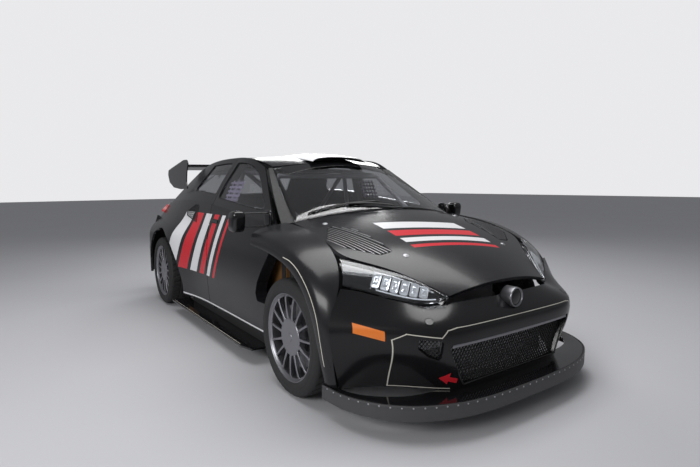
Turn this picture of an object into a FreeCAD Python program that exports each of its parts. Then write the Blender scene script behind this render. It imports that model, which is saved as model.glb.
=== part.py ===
"""Rally car: three-door hatchback body on 18 inch tarmac wheels, as separate named pieces.

Row frame: +X forward, +Y to the left, +Z up, origin on the floor at the middle of the length.
Free-form panels are grids of places, written as shares of the wheelbase, the half width and the
roof height, counted from the front axle, the centre plane and the floor.
"""
import FreeCAD
import Part
import Sketcher
import math
import os
from FreeCAD import Placement, Rotation, Vector

doc = FreeCAD.newDocument("rally_car")
sheet = doc.addObject("Spreadsheet::Sheet", "sizes")

SIZES = {
    # the whole car
    "car_length": 4225, "front_overhang": 930, "wheelbase": 2630, "half_width": 937.5,
    "roof_height": 1400, "shut_gap": 5, "seat_gap": 0.3, "overrun": 60,
    # body skins
    "panel_skin": 22, "door_depth": 80, "door_frame_depth": 34, "window_border": 40,
    "glass_skin": 5, "glass_recess": 9, "bumper_skin": 26, "roof_skin": 18, "pillar_depth": 34,
    "rail_width": 46, "rail_depth": 26, "arch_corner": 200,
    # floor, sills and bulkheads
    "floor_bottom": 100, "floor_skin": 14, "floor_half_width": 655,
    "floor_tail": 3060, "sill_width": 120, "sill_height": 96, "sill_front": 450, "sill_tail": 2090,
    "firewall_back": 400, "wall_skin": 12, "bulkhead_back": 2060, "side_wall_reach": 240, "tunnel_width": 240, "tunnel_height": 150,
    "floor_back": 2200, "boot_floor": 360, "boot_half_width": 520, "jamb_depth": 70,
    "beam_inner": 280, "beam_width": 60, "apron_half": 505, "apron_bottom": 300,
    "apron_front": 150, "tower_half": 75, "bumper_beam": 24,
    # front aero
    "splitter_bottom": 100, "splitter_skin": 12, "lip_height": 72, "lip_skin": 10,
    "splitter_rim": 40, "splitter_back": 395, "bumper_nose": 828,
    "grille_top": 415, "grille_kink": 390, "grille_shoulder": 300, "grille_bottom": 198,
    "grille_top_half": 470, "grille_kink_half": 478, "grille_shoulder_half": 430,
    "grille_bottom_half": 376, "slat_depth": 22, "slat_width": 9,
    "slat_pitch": 22, "grille_face": 780, "radiator_depth": 60, "radiator_face": 690,
    "badge_height": 575, "pod_radius": 52, "pod_depth": 60, "liner_skin": 6, "liner_half": 680,
    # sides and tail
    "skirt_skin": 12, "skirt_bottom": 100,
    "diffuser_fins": 5, "fin_skin": 8, "fin_height": 110,
    # wing
    "wing_skin": 24, "endplate_skin": 10,
    # wheels
    "tyre_radius": 325, "tyre_width": 235, "tyre_shoulder": 18, "wheel_face": 915,
    "rim_lip_radius": 246, "rim_wall": 6, "rim_barrel_radius": 224, "rim_half_width": 107,
    "spoke_count": 15, "spoke_root": 9, "spoke_tip": 7, "spoke_depth": 24, "spoke_recess": 10,
    "hub_radius": 104, "hub_depth": 16, "disc_radius": 178, "disc_skin": 28, "disc_recess": 60,
    "hat_radius": 82,
    # steering and suspension
    "kingpin_inset": 215, "kingpin_foot": 165, "kingpin_lean": 110, "kingpin_top": 800,
    "strut_radius": 26, "arm_radius": 16, "arm_root": 330, "rack_height": 250,
    "rack_radius": 18, "rack_half": 470, "steer_arm": 130,
    "wheel_rim_radius": 165, "wheel_rim_tube": 14, "column_radius": 16,
    "steering_back": 905, "steering_side": 330, "steering_height": 800,
    # cabin
    "cage_radius": 19, "seat_skin": 10, "seat_half": 215, "seat_side": 330, "seat_back": 1360,
    "engine_length": 420, "engine_width": 620, "engine_height": 430, "engine_bottom": 232,
    "engine_back": 190, "exhaust_radius": 32,
    # mirrors
    "mirror_length": 120, "mirror_width": 150, "mirror_height": 110,
}


class Size(float):
    """A number of the sheet, or a sum of such numbers, that also knows its own expression."""

    def __new__(cls, value, text):
        made = float.__new__(cls, value)
        made.text = text
        return made

    @staticmethod
    def words(value):
        return value.text if isinstance(value, Size) else repr(float(value))

    def join(self, other, sign, value, flip=False):
        left, right = Size.words(self), Size.words(other)
        if flip:
            left, right = right, left
        return Size(value, "(" + left + " " + sign + " " + right + ")")

    def __add__(self, other):
        return self.join(other, "+", float(self) + float(other))

    def __radd__(self, other):
        return self.join(other, "+", float(other) + float(self), True)

    def __sub__(self, other):
        return self.join(other, "-", float(self) - float(other))

    def __rsub__(self, other):
        return self.join(other, "-", float(other) - float(self), True)

    def __mul__(self, other):
        return self.join(other, "*", float(self) * float(other))

    def __rmul__(self, other):
        return self.join(other, "*", float(other) * float(self), True)

    def __truediv__(self, other):
        return self.join(other, "/", float(self) / float(other))

    def __neg__(self):
        return Size(-float(self), "(0 - " + self.text + ")")


class Sizes:
    """The named sizes, read back from the sheet."""


for row, (alias, value) in enumerate(SIZES.items(), start=1):
    sheet.set("A" + str(row), alias)
    sheet.set("B" + str(row), str(value))
    sheet.setAlias("B" + str(row), alias)
doc.recompute()
s = Sizes()
for alias in SIZES:
    setattr(s, alias, Size(float(sheet.get(alias)), "sizes." + alias))

ORIGIN = Vector(0, 0, 0)
AXIS_X, AXIS_Y, AXIS_Z = Vector(1, 0, 0), Vector(0, 1, 0), Vector(0, 0, 1)
SIDES = (("right", -1), ("left", 1))
front_x = s.car_length / 2 - s.front_overhang
rear_x = front_x - s.wheelbase
wheel_y = s.wheel_face - s.tyre_width / 2
firewall_share, bulkhead_share = 0.6357, 0.5286
firewall_top, bulkhead_top = s.roof_height * firewall_share, s.roof_height * bulkhead_share
nodes = {}


def keep(name, made):
    """Give a finished object its node name."""
    made.Label = name
    nodes[name] = made
    return made


def at(x_share, y_share, z_share, side=1):
    """A place from its shares, counted from the front axle, the centre plane and the floor."""
    return Vector(front_x + x_share * s.wheelbase, side * y_share * s.half_width,
                  z_share * s.roof_height)


# Plain building blocks

def feature(name, shape):
    """An object whose shape Part's own functions made."""
    made = doc.addObject("Part::Feature", name)
    made.Shape = shape
    return made


def place(made, x, y, z):
    """Bind an object's place to sizes."""
    for axis, value in (("x", x), ("y", y), ("z", z)):
        if isinstance(value, Size):
            made.setExpression("Placement.Base." + axis, value.text)
        else:
            setattr(made.Placement.Base, axis, float(value))
    return made


def box(name, length, width, height, x, y, z):
    """A block from its lowest corner."""
    made = doc.addObject("Part::Box", name)
    made.setExpression("Length", Size.words(length))
    made.setExpression("Width", Size.words(width))
    made.setExpression("Height", Size.words(height))
    return place(made, x, y, z)


def fuse(name, parts):
    made = doc.addObject("Part::MultiFuse", name)
    made.Shapes = parts
    return made


def cut(name, base, tools):
    tool = tools[0] if len(tools) == 1 else fuse(name + "_tools", tools)
    made = doc.addObject("Part::Cut", name)
    made.Base, made.Tool = base, tool
    return made


def common(name, base, tool):
    made = doc.addObject("Part::Common", name)
    made.Base, made.Tool = base, tool
    return made


def rounded_wire(points, radius):
    """A closed flat outline whose corners are arcs."""
    edges, ends = [], []
    count = len(points)
    for i, corner in enumerate(points):
        back = points[i - 1] - corner
        ahead = points[(i + 1) % count] - corner
        half = back.getAngle(ahead) / 2
        reach = min(radius / math.tan(half), back.Length * 0.45, ahead.Length * 0.45)
        start, end = corner + back.normalize() * reach, corner + ahead.normalize() * reach
        toward = (start + end) / 2 - corner
        fit = reach * math.tan(half)
        centre = corner + toward.normalize() * (fit / math.sin(half))
        middle = centre - toward * fit
        if math.pi - 2 * half > 0.02 and fit > 0:
            edges.append(Part.Arc(start, middle, end).toShape())
        else:
            start = end = corner
        ends.append((start, end))
    lines = []
    for i in range(count):
        first, last = ends[i - 1][1], ends[i][0]
        if (last - first).Length > 1e-6:
            lines.append(Part.LineSegment(first, last).toShape())
    return Part.Wire(Part.__sortEdges__(edges + lines))


def prism(points, direction, radius=0):
    """A flat outline carried along a direction."""
    wire = rounded_wire(points, radius) if radius else Part.makePolygon(points + points[:1])
    return Part.Face(wire).extrude(direction)


def inset_outline(points, distance, normal):
    """A closed outline drawn inwards by a distance, corners mitred."""
    count, made = len(points), []
    middle = sum(points, Vector()) / count
    for i, corner in enumerate(points):
        before = (corner - points[i - 1]).normalize()
        after = (points[(i + 1) % count] - corner).normalize()
        across_one, across_two = before.cross(normal), after.cross(normal)
        if across_one.dot(middle - corner) < 0:
            across_one, across_two = -across_one, -across_two
        toward = (across_one + across_two).normalize()
        made.append(corner + toward * (distance / toward.dot(across_one)))
    return made


def tube(points, radius):
    """Round bars from point to point, with a ball at each bend."""
    bars = []
    for first, last in zip(points, points[1:]):
        bars.append(Part.makeCylinder(radius, (last - first).Length, first, last - first))
    for bend in points[1:-1]:
        bars.append(Part.makeSphere(radius, bend))
    return bars[0].fuse(bars[1:]) if len(bars) > 1 else bars[0]


# Free-form panels

def normals(grid, inward):
    """The unit normal at each place of a grid, turned towards an inner point."""
    rows, cols, made = len(grid), len(grid[0]), []
    for i in range(rows):
        line = []
        for j in range(cols):
            du = grid[min(i + 1, rows - 1)][j] - grid[max(i - 1, 0)][j]
            dv = grid[i][min(j + 1, cols - 1)] - grid[i][max(j - 1, 0)]
            n = du.cross(dv).normalize()
            if n.dot(inward - grid[i][j]) < 0:
                n = -n
            line.append(n)
        made.append(line)
    return made


def offset_grid(grid, inward, depth):
    """The grid moved inwards along its normals."""
    across = normals(grid, inward)
    return [[p + n * depth for p, n in zip(line, ns)] for line, ns in zip(grid, across)]


def trim_grid(grid, gap):
    """The grid with its border drawn back, so that neighbours keep a shut gap."""
    made = [list(line) for line in grid]
    for line, old in zip(made, grid):
        line[0] = old[0] + (old[1] - old[0]).normalize() * gap
        line[-1] = old[-1] + (old[-2] - old[-1]).normalize() * gap
    top, low = list(made[0]), list(made[-1])
    for j in range(len(top)):
        made[0][j] = top[j] + (grid[1][j] - grid[0][j]).normalize() * gap
        made[-1][j] = low[j] + (grid[-2][j] - grid[-1][j]).normalize() * gap
    return made


def even_knots(count, degree):
    """Evenly spaced knots, clamped at both ends, with their repeats."""
    spans = count - degree
    return [float(k) for k in range(spans + 1)], [degree + 1] + [1] * (spans - 1) + [degree + 1]


def surface(grid):
    """A smooth surface with the grid as its control net."""
    rows, cols = len(grid), len(grid[0])
    u_degree, v_degree = min(3, rows - 1), min(3, cols - 1)
    u_knots, u_repeats = even_knots(rows, u_degree)
    v_knots, v_repeats = even_knots(cols, v_degree)
    made = Part.BSplineSurface()
    made.buildFromPolesMultsKnots(grid, u_repeats, v_repeats, u_knots, v_knots, False, False,
                                  u_degree, v_degree)
    return made


def borders(face):
    u_low, u_high, v_low, v_high = face.bounds()
    return [face.uIso(u_low), face.uIso(u_high), face.vIso(v_low), face.vIso(v_high)]


def between(outer, inner):
    """The closed solid between two grids of the same shape."""
    far, near = surface(outer), surface(inner)
    faces = [far.toShape(), near.toShape()]
    for first, second in zip(borders(far), borders(near)):
        faces.append(Part.makeRuledSurface(first.toShape(), second.toShape()))
    shell = Part.makeShell(faces)
    shell.sewShape()
    solid = Part.makeSolid(shell)
    if solid.Volume < 0:
        solid.reverse()
    return solid


def slab(grid, inward, start, depth):
    """A sheet that follows a grid, from one depth under it to another."""
    outer = offset_grid(grid, inward, start) if start else grid
    return between(outer, offset_grid(grid, inward, start + depth))


def keep_out(grid, inward, depth):
    """The room of a panel and its seam, for cutting its neighbours back."""
    return slab(grid, inward, -s.overrun / 4, depth + s.overrun / 2)


def crossing_grid(rows_shares, columns, side_power=2.2, bow_power=2.0):
    """A full-width grid from rows of middle x, edge x, half width, middle z and edge z."""
    grid = []
    for x_mid, x_edge, half, z_mid, z_edge in rows_shares:
        line = []
        for c in columns:
            way = abs(c)
            line.append(at(x_mid + (x_edge - x_mid) * way ** bow_power, half * c,
                           z_mid + (z_edge - z_mid) * way ** side_power))
        grid.append(line)
    return grid


def side_grid(rows_shares, side):
    """A flank grid from rows of front x, rear x, half widths and heights."""
    grid = []
    for x_front, x_back, halves, heights in rows_shares:
        last = len(halves) - 1
        line = []
        for j, half in enumerate(halves):
            x = x_front + (x_back - x_front) * j / last
            z = heights[j] if isinstance(heights, (list, tuple)) else heights
            line.append(at(x, half, z, side))
        grid.append(line)
    return grid


def place_grid(rows_shares, side=1):
    """A grid written place by place."""
    return [[at(x, y, z, side) for x, y, z in line] for line in rows_shares]


def mirrored_grid(rows_shares):
    """A full-width grid from the half that is written place by place, middle first."""
    grid = []
    for line in rows_shares:
        right = [at(x, y, z, -1) for x, y, z in reversed(line)]
        grid.append(right + [at(x, y, z, 1) for x, y, z in line[1:]])
    return grid


CABIN = at(-0.55, 0, 0.45)
half_gap = s.shut_gap / 2

# Flank shares: front x, rear x, half widths, heights

door_lower_shares = [
    (-0.1635, -0.559, (0.869, 0.875, 0.875, 0.880, 0.885), 0.146),
    (-0.1654, -0.5627, (0.890, 0.900, 0.900, 0.902, 0.906), 0.286),
    (-0.1635, -0.5684, (0.880, 0.890, 0.893, 0.896, 0.900), 0.429),
    (-0.1597, -0.5741, (0.853, 0.864, 0.869, 0.872, 0.875), 0.557),
    (-0.154, -0.576, (0.816, 0.821, 0.821, 0.824, 0.827), (0.654, 0.668, 0.684, 0.702, 0.718)),
]
door_upper_shares = [
    (-0.165, -0.576, (0.808, 0.813, 0.813, 0.816, 0.819), (0.650, 0.664, 0.680, 0.698, 0.714)),
    (-0.266, -0.559, (0.709, 0.727, 0.734, 0.737, 0.738), (0.786, 0.806, 0.822, 0.835, 0.843)),
    (-0.3593, -0.5228, (0.605, 0.615, 0.621, 0.625, 0.625), (0.918, 0.954, 0.973, 0.981, 0.982)),
]
quarter_lower_shares = [
    (-0.559, -1.148, (0.885, 0.892, 0.950, 1.000, 1.000, 0.995, 0.985), 0.146),
    (-0.5627, -1.148, (0.906, 0.912, 0.960, 1.000, 1.000, 1.000, 0.987), 0.286),
    (-0.5684, -1.148, (0.900, 0.908, 0.955, 1.000, 1.000, 1.000, 0.987), 0.429),
    (-0.5725, -1.148, (0.885, 0.892, 0.948, 1.000, 1.000, 1.000, 0.985), 0.515),
    (-0.5745, -1.148, (0.871, 0.876, 0.908, 0.940, 0.945, 0.930, 0.890), 0.570),
    (-0.576, -1.148, (0.853, 0.856, 0.862, 0.864, 0.858, 0.842, 0.815), 0.630),
    (-0.576, -1.135, (0.827, 0.820, 0.817, 0.812, 0.800, 0.780, 0.750),
     (0.718, 0.730, 0.736, 0.734, 0.725, 0.712, 0.700)),
]
quarter_upper_shares = [
    (-0.576, -1.135, (0.819, 0.815, 0.805, 0.780, 0.742), (0.714, 0.730, 0.731, 0.716, 0.696)),
    (-0.559, -1.045, (0.738, 0.730, 0.718, 0.692, 0.655), (0.843, 0.850, 0.850, 0.838, 0.815)),
    (-0.5228, -0.940, (0.625, 0.624, 0.616, 0.603, 0.582), (0.982, 0.984, 0.978, 0.957, 0.918)),
]
window_corner = s.window_border * 0.6
notch_shares = ((-0.10, 0.297), (-0.213, 0.293), (-0.220, 0.330), (-0.212, 0.38), (-0.196, 0.43),
                (-0.174, 0.49), (-0.155, 0.545), (-0.10, 0.56))


arch_shares = ((-0.752, 0.0), (-0.760, 0.22), (-0.795, 0.335), (-0.850, 0.450), (-0.915, 0.515),
               (-0.965, 0.540), (-1.015, 0.530), (-1.070, 0.490), (-1.115, 0.420),
               (-1.145, 0.330), (-1.152, 0.22), (-1.152, 0.0))


def border_points(grid):
    """The outline of a grid, seen from the side, in order round it."""
    flat = [p for p in grid[0]] + [line[-1] for line in grid[1:-1]]
    flat += list(reversed(grid[-1])) + [line[0] for line in reversed(grid[1:-1])]
    return [Vector(p.x, 0, p.z) for p in flat]


def window_prism(grid, border, sill_lift, side):
    """A cutter for the window of a flank: the outline drawn in, its lower edge lifted."""
    raised = [[p + AXIS_Z * sill_lift for p in grid[0]]] + grid[1:]
    outline = inset_outline(border_points(raised), border, AXIS_Y)
    reach = s.half_width + s.overrun
    return prism(outline, AXIS_Y * (side * reach), window_corner)


def door(word, side):
    """A door with its frame, its glass and its mirror."""
    lower = trim_grid(side_grid(door_lower_shares, side), half_gap)
    upper = trim_grid(side_grid(door_upper_shares, side), half_gap)
    leaf = feature("door_leaf_" + word, slab(lower, CABIN, 0, s.door_depth))
    frame = feature("door_frame_" + word, slab(upper, CABIN, 0, s.door_frame_depth))
    whole = fuse("door_whole_" + word, [leaf, frame])
    lift = s.window_border * 0.5
    hole = feature("door_hole_" + word, window_prism(upper, s.window_border, lift, side))
    notch = feature("door_notch_" + word, prism([at(x, 0, z) for x, z in notch_shares],
                                                AXIS_Y * (side * (s.half_width + s.overrun)),
                                                s.window_border / 2))
    keep("door_" + word, cut("door_cut_" + word, whole, [hole, notch]))
    pane = feature("door_pane_" + word, slab(upper, CABIN, s.glass_recess, s.glass_skin))
    lens = feature("door_lens_" + word,
                   window_prism(upper, s.window_border + s.seat_gap, lift, side))
    keep("door_glass_" + word, common("door_glass_" + word, pane, lens))
    mirror(word, side)


def mirror(word, side):
    """A door mirror: a rounded housing on two flat blades."""
    root = at(-0.185, 0.815, 0.676, side)
    middle = at(-0.205, 0.995, 0.676, side)
    shell = Part.makeBox(s.mirror_length, s.mirror_width, s.mirror_height,
                         middle - Vector(s.mirror_length, s.mirror_width,
                                         s.mirror_height) / 2)
    shell = shell.makeFillet(s.mirror_height * 0.25, shell.Edges)
    blade_skin = s.mirror_height * 0.09
    blades = []
    for level in (-0.42, 0.36):
        low = root + AXIS_Z * (level * s.mirror_height)
        far = middle + AXIS_Z * (level * s.mirror_height)
        chord = s.mirror_length * 0.55
        blade = prism([low + AXIS_X * chord / 2, far + AXIS_X * chord / 3,
                       far - AXIS_X * chord / 3, low - AXIS_X * chord / 2],
                      AXIS_Z * blade_skin)
        blades.append(blade)
    foot = Part.makeBox(s.mirror_length * 0.7, s.mirror_width * 0.12, s.mirror_height * 1.1)
    foot.translate(root - Vector(s.mirror_length * 0.35, s.mirror_width * 0.06,
                                 s.mirror_height * 0.55))
    leaf = slab(side_grid(door_lower_shares, side), CABIN, -s.seat_gap, s.door_depth)
    frame = slab(side_grid(door_upper_shares, side), CABIN, -s.seat_gap, s.door_depth)
    whole = shell.fuse(blades + [foot]).cut([leaf, frame])
    biggest = max(whole.Solids, key=lambda solid: solid.Volume)
    keep("mirror_" + word, feature("mirror_" + word, biggest))


def quarter(word, side):
    """A rear quarter panel with its arch and its window."""
    lower = trim_grid(side_grid(quarter_lower_shares, side), half_gap)
    upper = trim_grid(side_grid(quarter_upper_shares, side), half_gap)
    flank = feature("quarter_flank_" + word, slab(lower, CABIN, 0, s.panel_skin))
    pillar = feature("quarter_pillar_" + word, slab(upper, CABIN, 0, s.panel_skin))
    whole = fuse("quarter_whole_" + word, [flank, pillar])
    arch = prism([at(x, 0, z) for x, z in arch_shares],
                 AXIS_Y * (side * (s.half_width + s.overrun)), s.arch_corner)
    mouth = feature("quarter_arch_" + word, arch)
    front = [[line[0], line[1], line[2]] for line in upper]
    hole = feature("quarter_hole_" + word,
                   window_prism(front, s.window_border, s.window_border, side))
    keep("quarter_" + word, cut("quarter_cut_" + word, whole, [mouth, hole]))
    pane = slab(upper, CABIN, s.glass_recess, s.glass_skin)
    lens = window_prism(front, s.window_border + s.seat_gap, s.window_border, side)
    return pane.common(lens)


for word, side in SIDES:
    door(word, side)
quarter_panes = [quarter(word, side) for word, side in SIDES]
keep("quarter_glass", feature("quarter_glass_pair", Part.makeCompound(quarter_panes)))

# Bonnet, roof, screens and tailgate: middle x, edge x, half width, middle z, edge z

bonnet_shares = [
    (-0.093, -0.125, 0.731, 0.707, 0.661),
    (-0.038, -0.057, 0.747, 0.682, 0.646),
    (0.019, 0.011, 0.763, 0.654, 0.627),
    (0.076, 0.072, 0.779, 0.623, 0.589),
    (0.118, 0.104, 0.765, 0.602, 0.560),
    (0.160, 0.150, 0.635, 0.574, 0.535),
    (0.209, 0.200, 0.520, 0.539, 0.500),
    (0.278, 0.266, 0.411, 0.473, 0.438),
]
wide_columns = (-1.0, -0.72, -0.38, 0.0, 0.38, 0.72, 1.0)
roof_shares = [
    (-0.323, -0.3593, 0.545, 0.946, 0.922),
    (-0.399, -0.411, 0.583, 0.980, 0.962),
    (-0.513, -0.517, 0.593, 0.998, 0.984),
    (-0.665, -0.665, 0.588, 1.000, 0.982),
    (-0.798, -0.798, 0.572, 0.989, 0.966),
    (-0.958, -0.935, 0.552, 0.957, 0.926),
]
windscreen_shares = [
    (-0.091, -0.124, 0.720, 0.711, 0.661),
    (-0.205, -0.240, 0.645, 0.832, 0.791),
    (-0.3195, -0.356, 0.549, 0.946, 0.914),
]
tailgate_shares = [
    (-0.964, -0.941, 0.576, 0.954, 0.918),
    (-1.042, -1.019, 0.640, 0.864, 0.832),
    (-1.122, -1.103, 0.709, 0.757, 0.736),
    (-1.165, -1.150, 0.736, 0.679, 0.671),
    (-1.188, -1.172, 0.736, 0.586, 0.586),
    (-1.196, -1.180, 0.736, 0.486, 0.486),
]
ENGINE_BAY = at(0.05, 0, 0.2)
UNDER_ROOF = at(-0.6, 0, 0.3)

bonnet_grid = trim_grid(crossing_grid(bonnet_shares, wide_columns), half_gap)
bonnet_sheet = feature("bonnet_sheet", slab(bonnet_grid, ENGINE_BAY, 0, s.panel_skin))
vent_shares = [(0.131, 0.469), (0.130, 0.565), (0.076, 0.715), (0.032, 0.745), (-0.034, 0.619),
               (0.011, 0.507)]
vent_cutters, vent_slats = [], []
for word, side in SIDES:
    outline = [at(x, y, 0.4, side) for x, y in vent_shares]
    cutter = prism(outline, AXIS_Z * s.roof_height, s.window_border / 2)
    vent_cutters.append(feature("vent_hole_" + word, cutter))
    inner = inset_outline(outline, s.seat_gap, AXIS_Z)
    mat = slab(bonnet_grid, ENGINE_BAY, s.panel_skin * 0.35, s.panel_skin * 0.3)
    field = mat.common(prism(inner, AXIS_Z * s.roof_height, s.window_border / 2))
    slots = []
    for k in range(7):
        share = -0.028 + 0.022 * k
        low = at(share, 0.5, 0.4, side)
        slot = Part.makeBox(s.panel_skin * 1.4, s.half_width * 0.16, s.roof_height)
        slot.rotate(ORIGIN, AXIS_Z, 30 * side)
        slot.translate(low + AXIS_Y * (side * s.half_width * (0.02 * k - 0.02)))
        slots.append(slot)
    vent_slats.append(max(field.cut(slots).Solids, key=lambda solid: solid.Volume))
keep("bonnet", cut("bonnet_cut", bonnet_sheet, vent_cutters))
keep("bonnet_louvres", feature("bonnet_louvre_pair", Part.makeCompound(vent_slats)))

roof_grid = trim_grid(crossing_grid(roof_shares, wide_columns), half_gap)
keep("roof_panel", feature("roof_sheet", slab(roof_grid, UNDER_ROOF, 0, s.roof_skin)))

screen_grid = trim_grid(crossing_grid(windscreen_shares, wide_columns), half_gap)
keep("windscreen", feature("windscreen_sheet", slab(screen_grid, CABIN, 0, s.glass_skin)))

scoop_rows_shares = [
    [(-0.312, 0.0, 0.978), (-0.312, 0.14, 0.976), (-0.312, 0.24, 0.966), (-0.312, 0.26, 0.950)],
    [(-0.36, 0.0, 0.997), (-0.36, 0.14, 0.995), (-0.36, 0.235, 0.985), (-0.36, 0.258, 0.962)],
    [(-0.43, 0.0, 1.012), (-0.43, 0.13, 1.010), (-0.43, 0.21, 1.000), (-0.43, 0.24, 0.984)],
    [(-0.53, 0.0, 1.008), (-0.53, 0.10, 1.007), (-0.53, 0.16, 1.002), (-0.53, 0.19, 0.998)],
]
scoop_grid = mirrored_grid(scoop_rows_shares)
scoop = slab(scoop_grid, UNDER_ROOF, 0, s.glass_skin)
scoop = scoop.cut(slab(roof_grid, UNDER_ROOF, -s.seat_gap, s.overrun))
keep("roof_scoop", feature("roof_scoop_sheet", scoop))

tail_grid = trim_grid(crossing_grid(tailgate_shares, wide_columns), half_gap)
tail_shape = slab(tail_grid, CABIN, 0, s.panel_skin)
for word, side in SIDES:
    tail_shape = tail_shape.cut([keep_out(side_grid(rows, side), CABIN, s.panel_skin)
                                 for rows in (quarter_lower_shares, quarter_upper_shares)])
tail_sheet = feature("tailgate_sheet", tail_shape)
rear_window_points = [at(-1.3, y, z) for y, z in ((-0.52, 0.915), (0.52, 0.915), (0.63, 0.76),
                                                  (-0.63, 0.76))]


def rear_window_prism(border):
    """A cutter for the rear window, along the car."""
    outline = inset_outline(rear_window_points, border, AXIS_X) if border else rear_window_points
    return prism(outline, AXIS_X * (s.wheelbase * 0.5), s.window_border)


rear_hole = feature("rear_window_hole", rear_window_prism(0))
keep("tailgate", cut("tailgate_cut", tail_sheet, [rear_hole]))
rear_pane = feature("rear_pane", slab(tail_grid, CABIN, s.glass_recess, s.glass_skin))
rear_lens = feature("rear_lens", rear_window_prism(s.seat_gap))
keep("rear_window", common("rear_window_pane", rear_pane, rear_lens))

# Front wings: from the bumper round the arch to the windscreen, lip to inner seam

wing_shares = [
    [(0.128, 0.940, 0.1213), (0.136, 0.945, 0.1213), (0.146, 0.942, 0.1213),
     (0.155, 0.930, 0.1213), (0.163, 0.918, 0.1213)],
    [(0.134, 0.980, 0.221), (0.143, 0.985, 0.221), (0.153, 0.982, 0.221), (0.161, 0.972, 0.219),
     (0.168, 0.960, 0.217)],
    [(0.127, 0.997, 0.336), (0.144, 1.0, 0.339), (0.152, 0.992, 0.346), (0.162, 0.971, 0.357),
     (0.165, 0.949, 0.379)],
    [(0.091, 0.997, 0.443), (0.120, 1.0, 0.446), (0.131, 0.976, 0.464), (0.143, 0.928, 0.479),
     (0.152, 0.870, 0.484)],
    [(0.038, 0.997, 0.511), (0.068, 1.0, 0.532), (0.080, 0.971, 0.546), (0.093, 0.896, 0.561),
     (0.103, 0.795, 0.564)],
    [(-0.019, 0.997, 0.543), (-0.008, 1.0, 0.586), (0.0, 0.965, 0.607), (0.015, 0.875, 0.625),
     (0.023, 0.763, 0.632)],
    [(-0.084, 0.997, 0.561), (-0.080, 1.0, 0.607), (-0.076, 0.965, 0.630), (-0.065, 0.875, 0.646),
     (-0.057, 0.752, 0.651)],
    [(-0.156, 0.997, 0.571), (-0.156, 0.997, 0.614), (-0.156, 0.960, 0.632),
     (-0.154, 0.885, 0.646), (-0.129, 0.768, 0.664)],
]
for word, side in SIDES:
    grid = trim_grid(place_grid(wing_shares, side), half_gap)
    keep("wing_" + word, feature("wing_sheet_" + word,
                                 slab(grid, at(0.0, 0.5, 0.2, side), 0, s.panel_skin)))

# Front bumper with its mouth, the grille, the badge pod and the lamps

bumper_plan_shares = ((0.3156, 0.0), (0.315, 0.267), (0.3125, 0.48), (0.295, 0.597),
                      (0.253, 0.725), (0.207, 0.853), (0.181, 0.939), (0.169, 0.979))
bumper_top_shares = [(0.279, 0.0, 0.418), (0.277, 0.267, 0.418), (0.266, 0.421, 0.416),
                     (0.245, 0.517, 0.400), (0.211, 0.661, 0.429), (0.179, 0.779, 0.457),
                     (0.163, 0.843, 0.468), (0.156, 0.885, 0.471)]
bumper_foot_shares = ((0.3042, 0.0), (0.3042, 0.235), (0.2985, 0.405), (0.2757, 0.491),
                      (0.2452, 0.576), (0.2034, 0.688), (0.1787, 0.811), (0.1650, 0.913))
bumper_levels_shares = ((0.1213, 0.0, 0.0), (0.180, 0.35, 0.0), (0.240, 0.75, 0.0),
                        (0.300, 1.0, 0.0), (0.345, 1.0, 0.001), (0.368, 1.0, 0.008))
bumper_rows = [[(low[0] + (high[0] - low[0]) * part_of - back,
                 low[1] + (high[1] - low[1]) * part_of, z)
                for low, high in zip(bumper_foot_shares, bumper_plan_shares)]
               for z, part_of, back in bumper_levels_shares]
bumper_grid = trim_grid(mirrored_grid(bumper_rows + [bumper_top_shares]), half_gap)
bumper_shape = slab(bumper_grid, ENGINE_BAY, 0, s.bumper_skin)
for word, side in SIDES:
    bumper_shape = bumper_shape.cut(keep_out(place_grid(wing_shares, side),
                                             at(0.0, 0.5, 0.2, side), s.panel_skin))
bumper_sheet = feature("bumper_sheet", bumper_shape)
mouth_half = [
    (s.grille_bottom_half, s.grille_bottom), (s.grille_shoulder_half, s.grille_shoulder),
    (s.grille_kink_half, s.grille_kink), (s.grille_top_half, s.grille_top)]
mouth_outline = mouth_half + [(-y, z) for y, z in reversed(mouth_half)]
duct_shares = ((0.545, 0.240), (0.600, 0.255), (0.648, 0.285), (0.648, 0.320), (0.545, 0.311))
mouth_face = front_x + s.grille_face
mouth_points = [Vector(mouth_face - s.radiator_depth, y, z) for y, z in mouth_outline]
mouth = prism(mouth_points, AXIS_X * (s.radiator_depth + s.front_overhang))
mouths, duct_meshes = [feature("bumper_mouth", mouth)], []
duct_mat = slab(bumper_grid, ENGINE_BAY, s.bumper_skin / 2, s.bumper_skin / 4)
for word, side in SIDES:
    outline = [at(0.2, y, z, side) for y, z in duct_shares]
    duct = prism(outline, AXIS_X * s.front_overhang, s.slat_width)
    mouths.append(feature("bumper_duct_" + word, duct))
    inner = prism(inset_outline(outline, s.seat_gap, AXIS_X), AXIS_X * s.front_overhang,
                  s.slat_width)
    duct_meshes.append(duct_mat.common(inner))
bumper_cut = cut("bumper_cut", bumper_sheet, mouths)

mesh_points = inset_outline(mouth_points, s.seat_gap, AXIS_X)
mesh_field = prism([p + AXIS_X * s.radiator_depth for p in mesh_points], AXIS_X * s.slat_depth)
slots = []
rows = int((s.grille_kink - s.grille_bottom) // s.slat_pitch)
for k in range(rows):
    low = s.grille_bottom + s.slat_width + k * s.slat_pitch
    reach = (s.grille_bottom_half - s.slat_width * 2
             + (s.grille_shoulder_half - s.grille_bottom_half) * k / rows)
    for part_of in range(4):
        width = (2 * reach - 3 * s.slat_width) / 4
        slots.append(Part.makeBox(s.slat_depth * 3, width, s.slat_pitch - s.slat_width,
                                  Vector(mouth_face - s.slat_depth,
                                         -reach + part_of * (width + s.slat_width), low)))
keep("front_grille", feature("grille_mesh",
                             Part.makeCompound([mesh_field.cut(slots)] + duct_meshes)))

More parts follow.
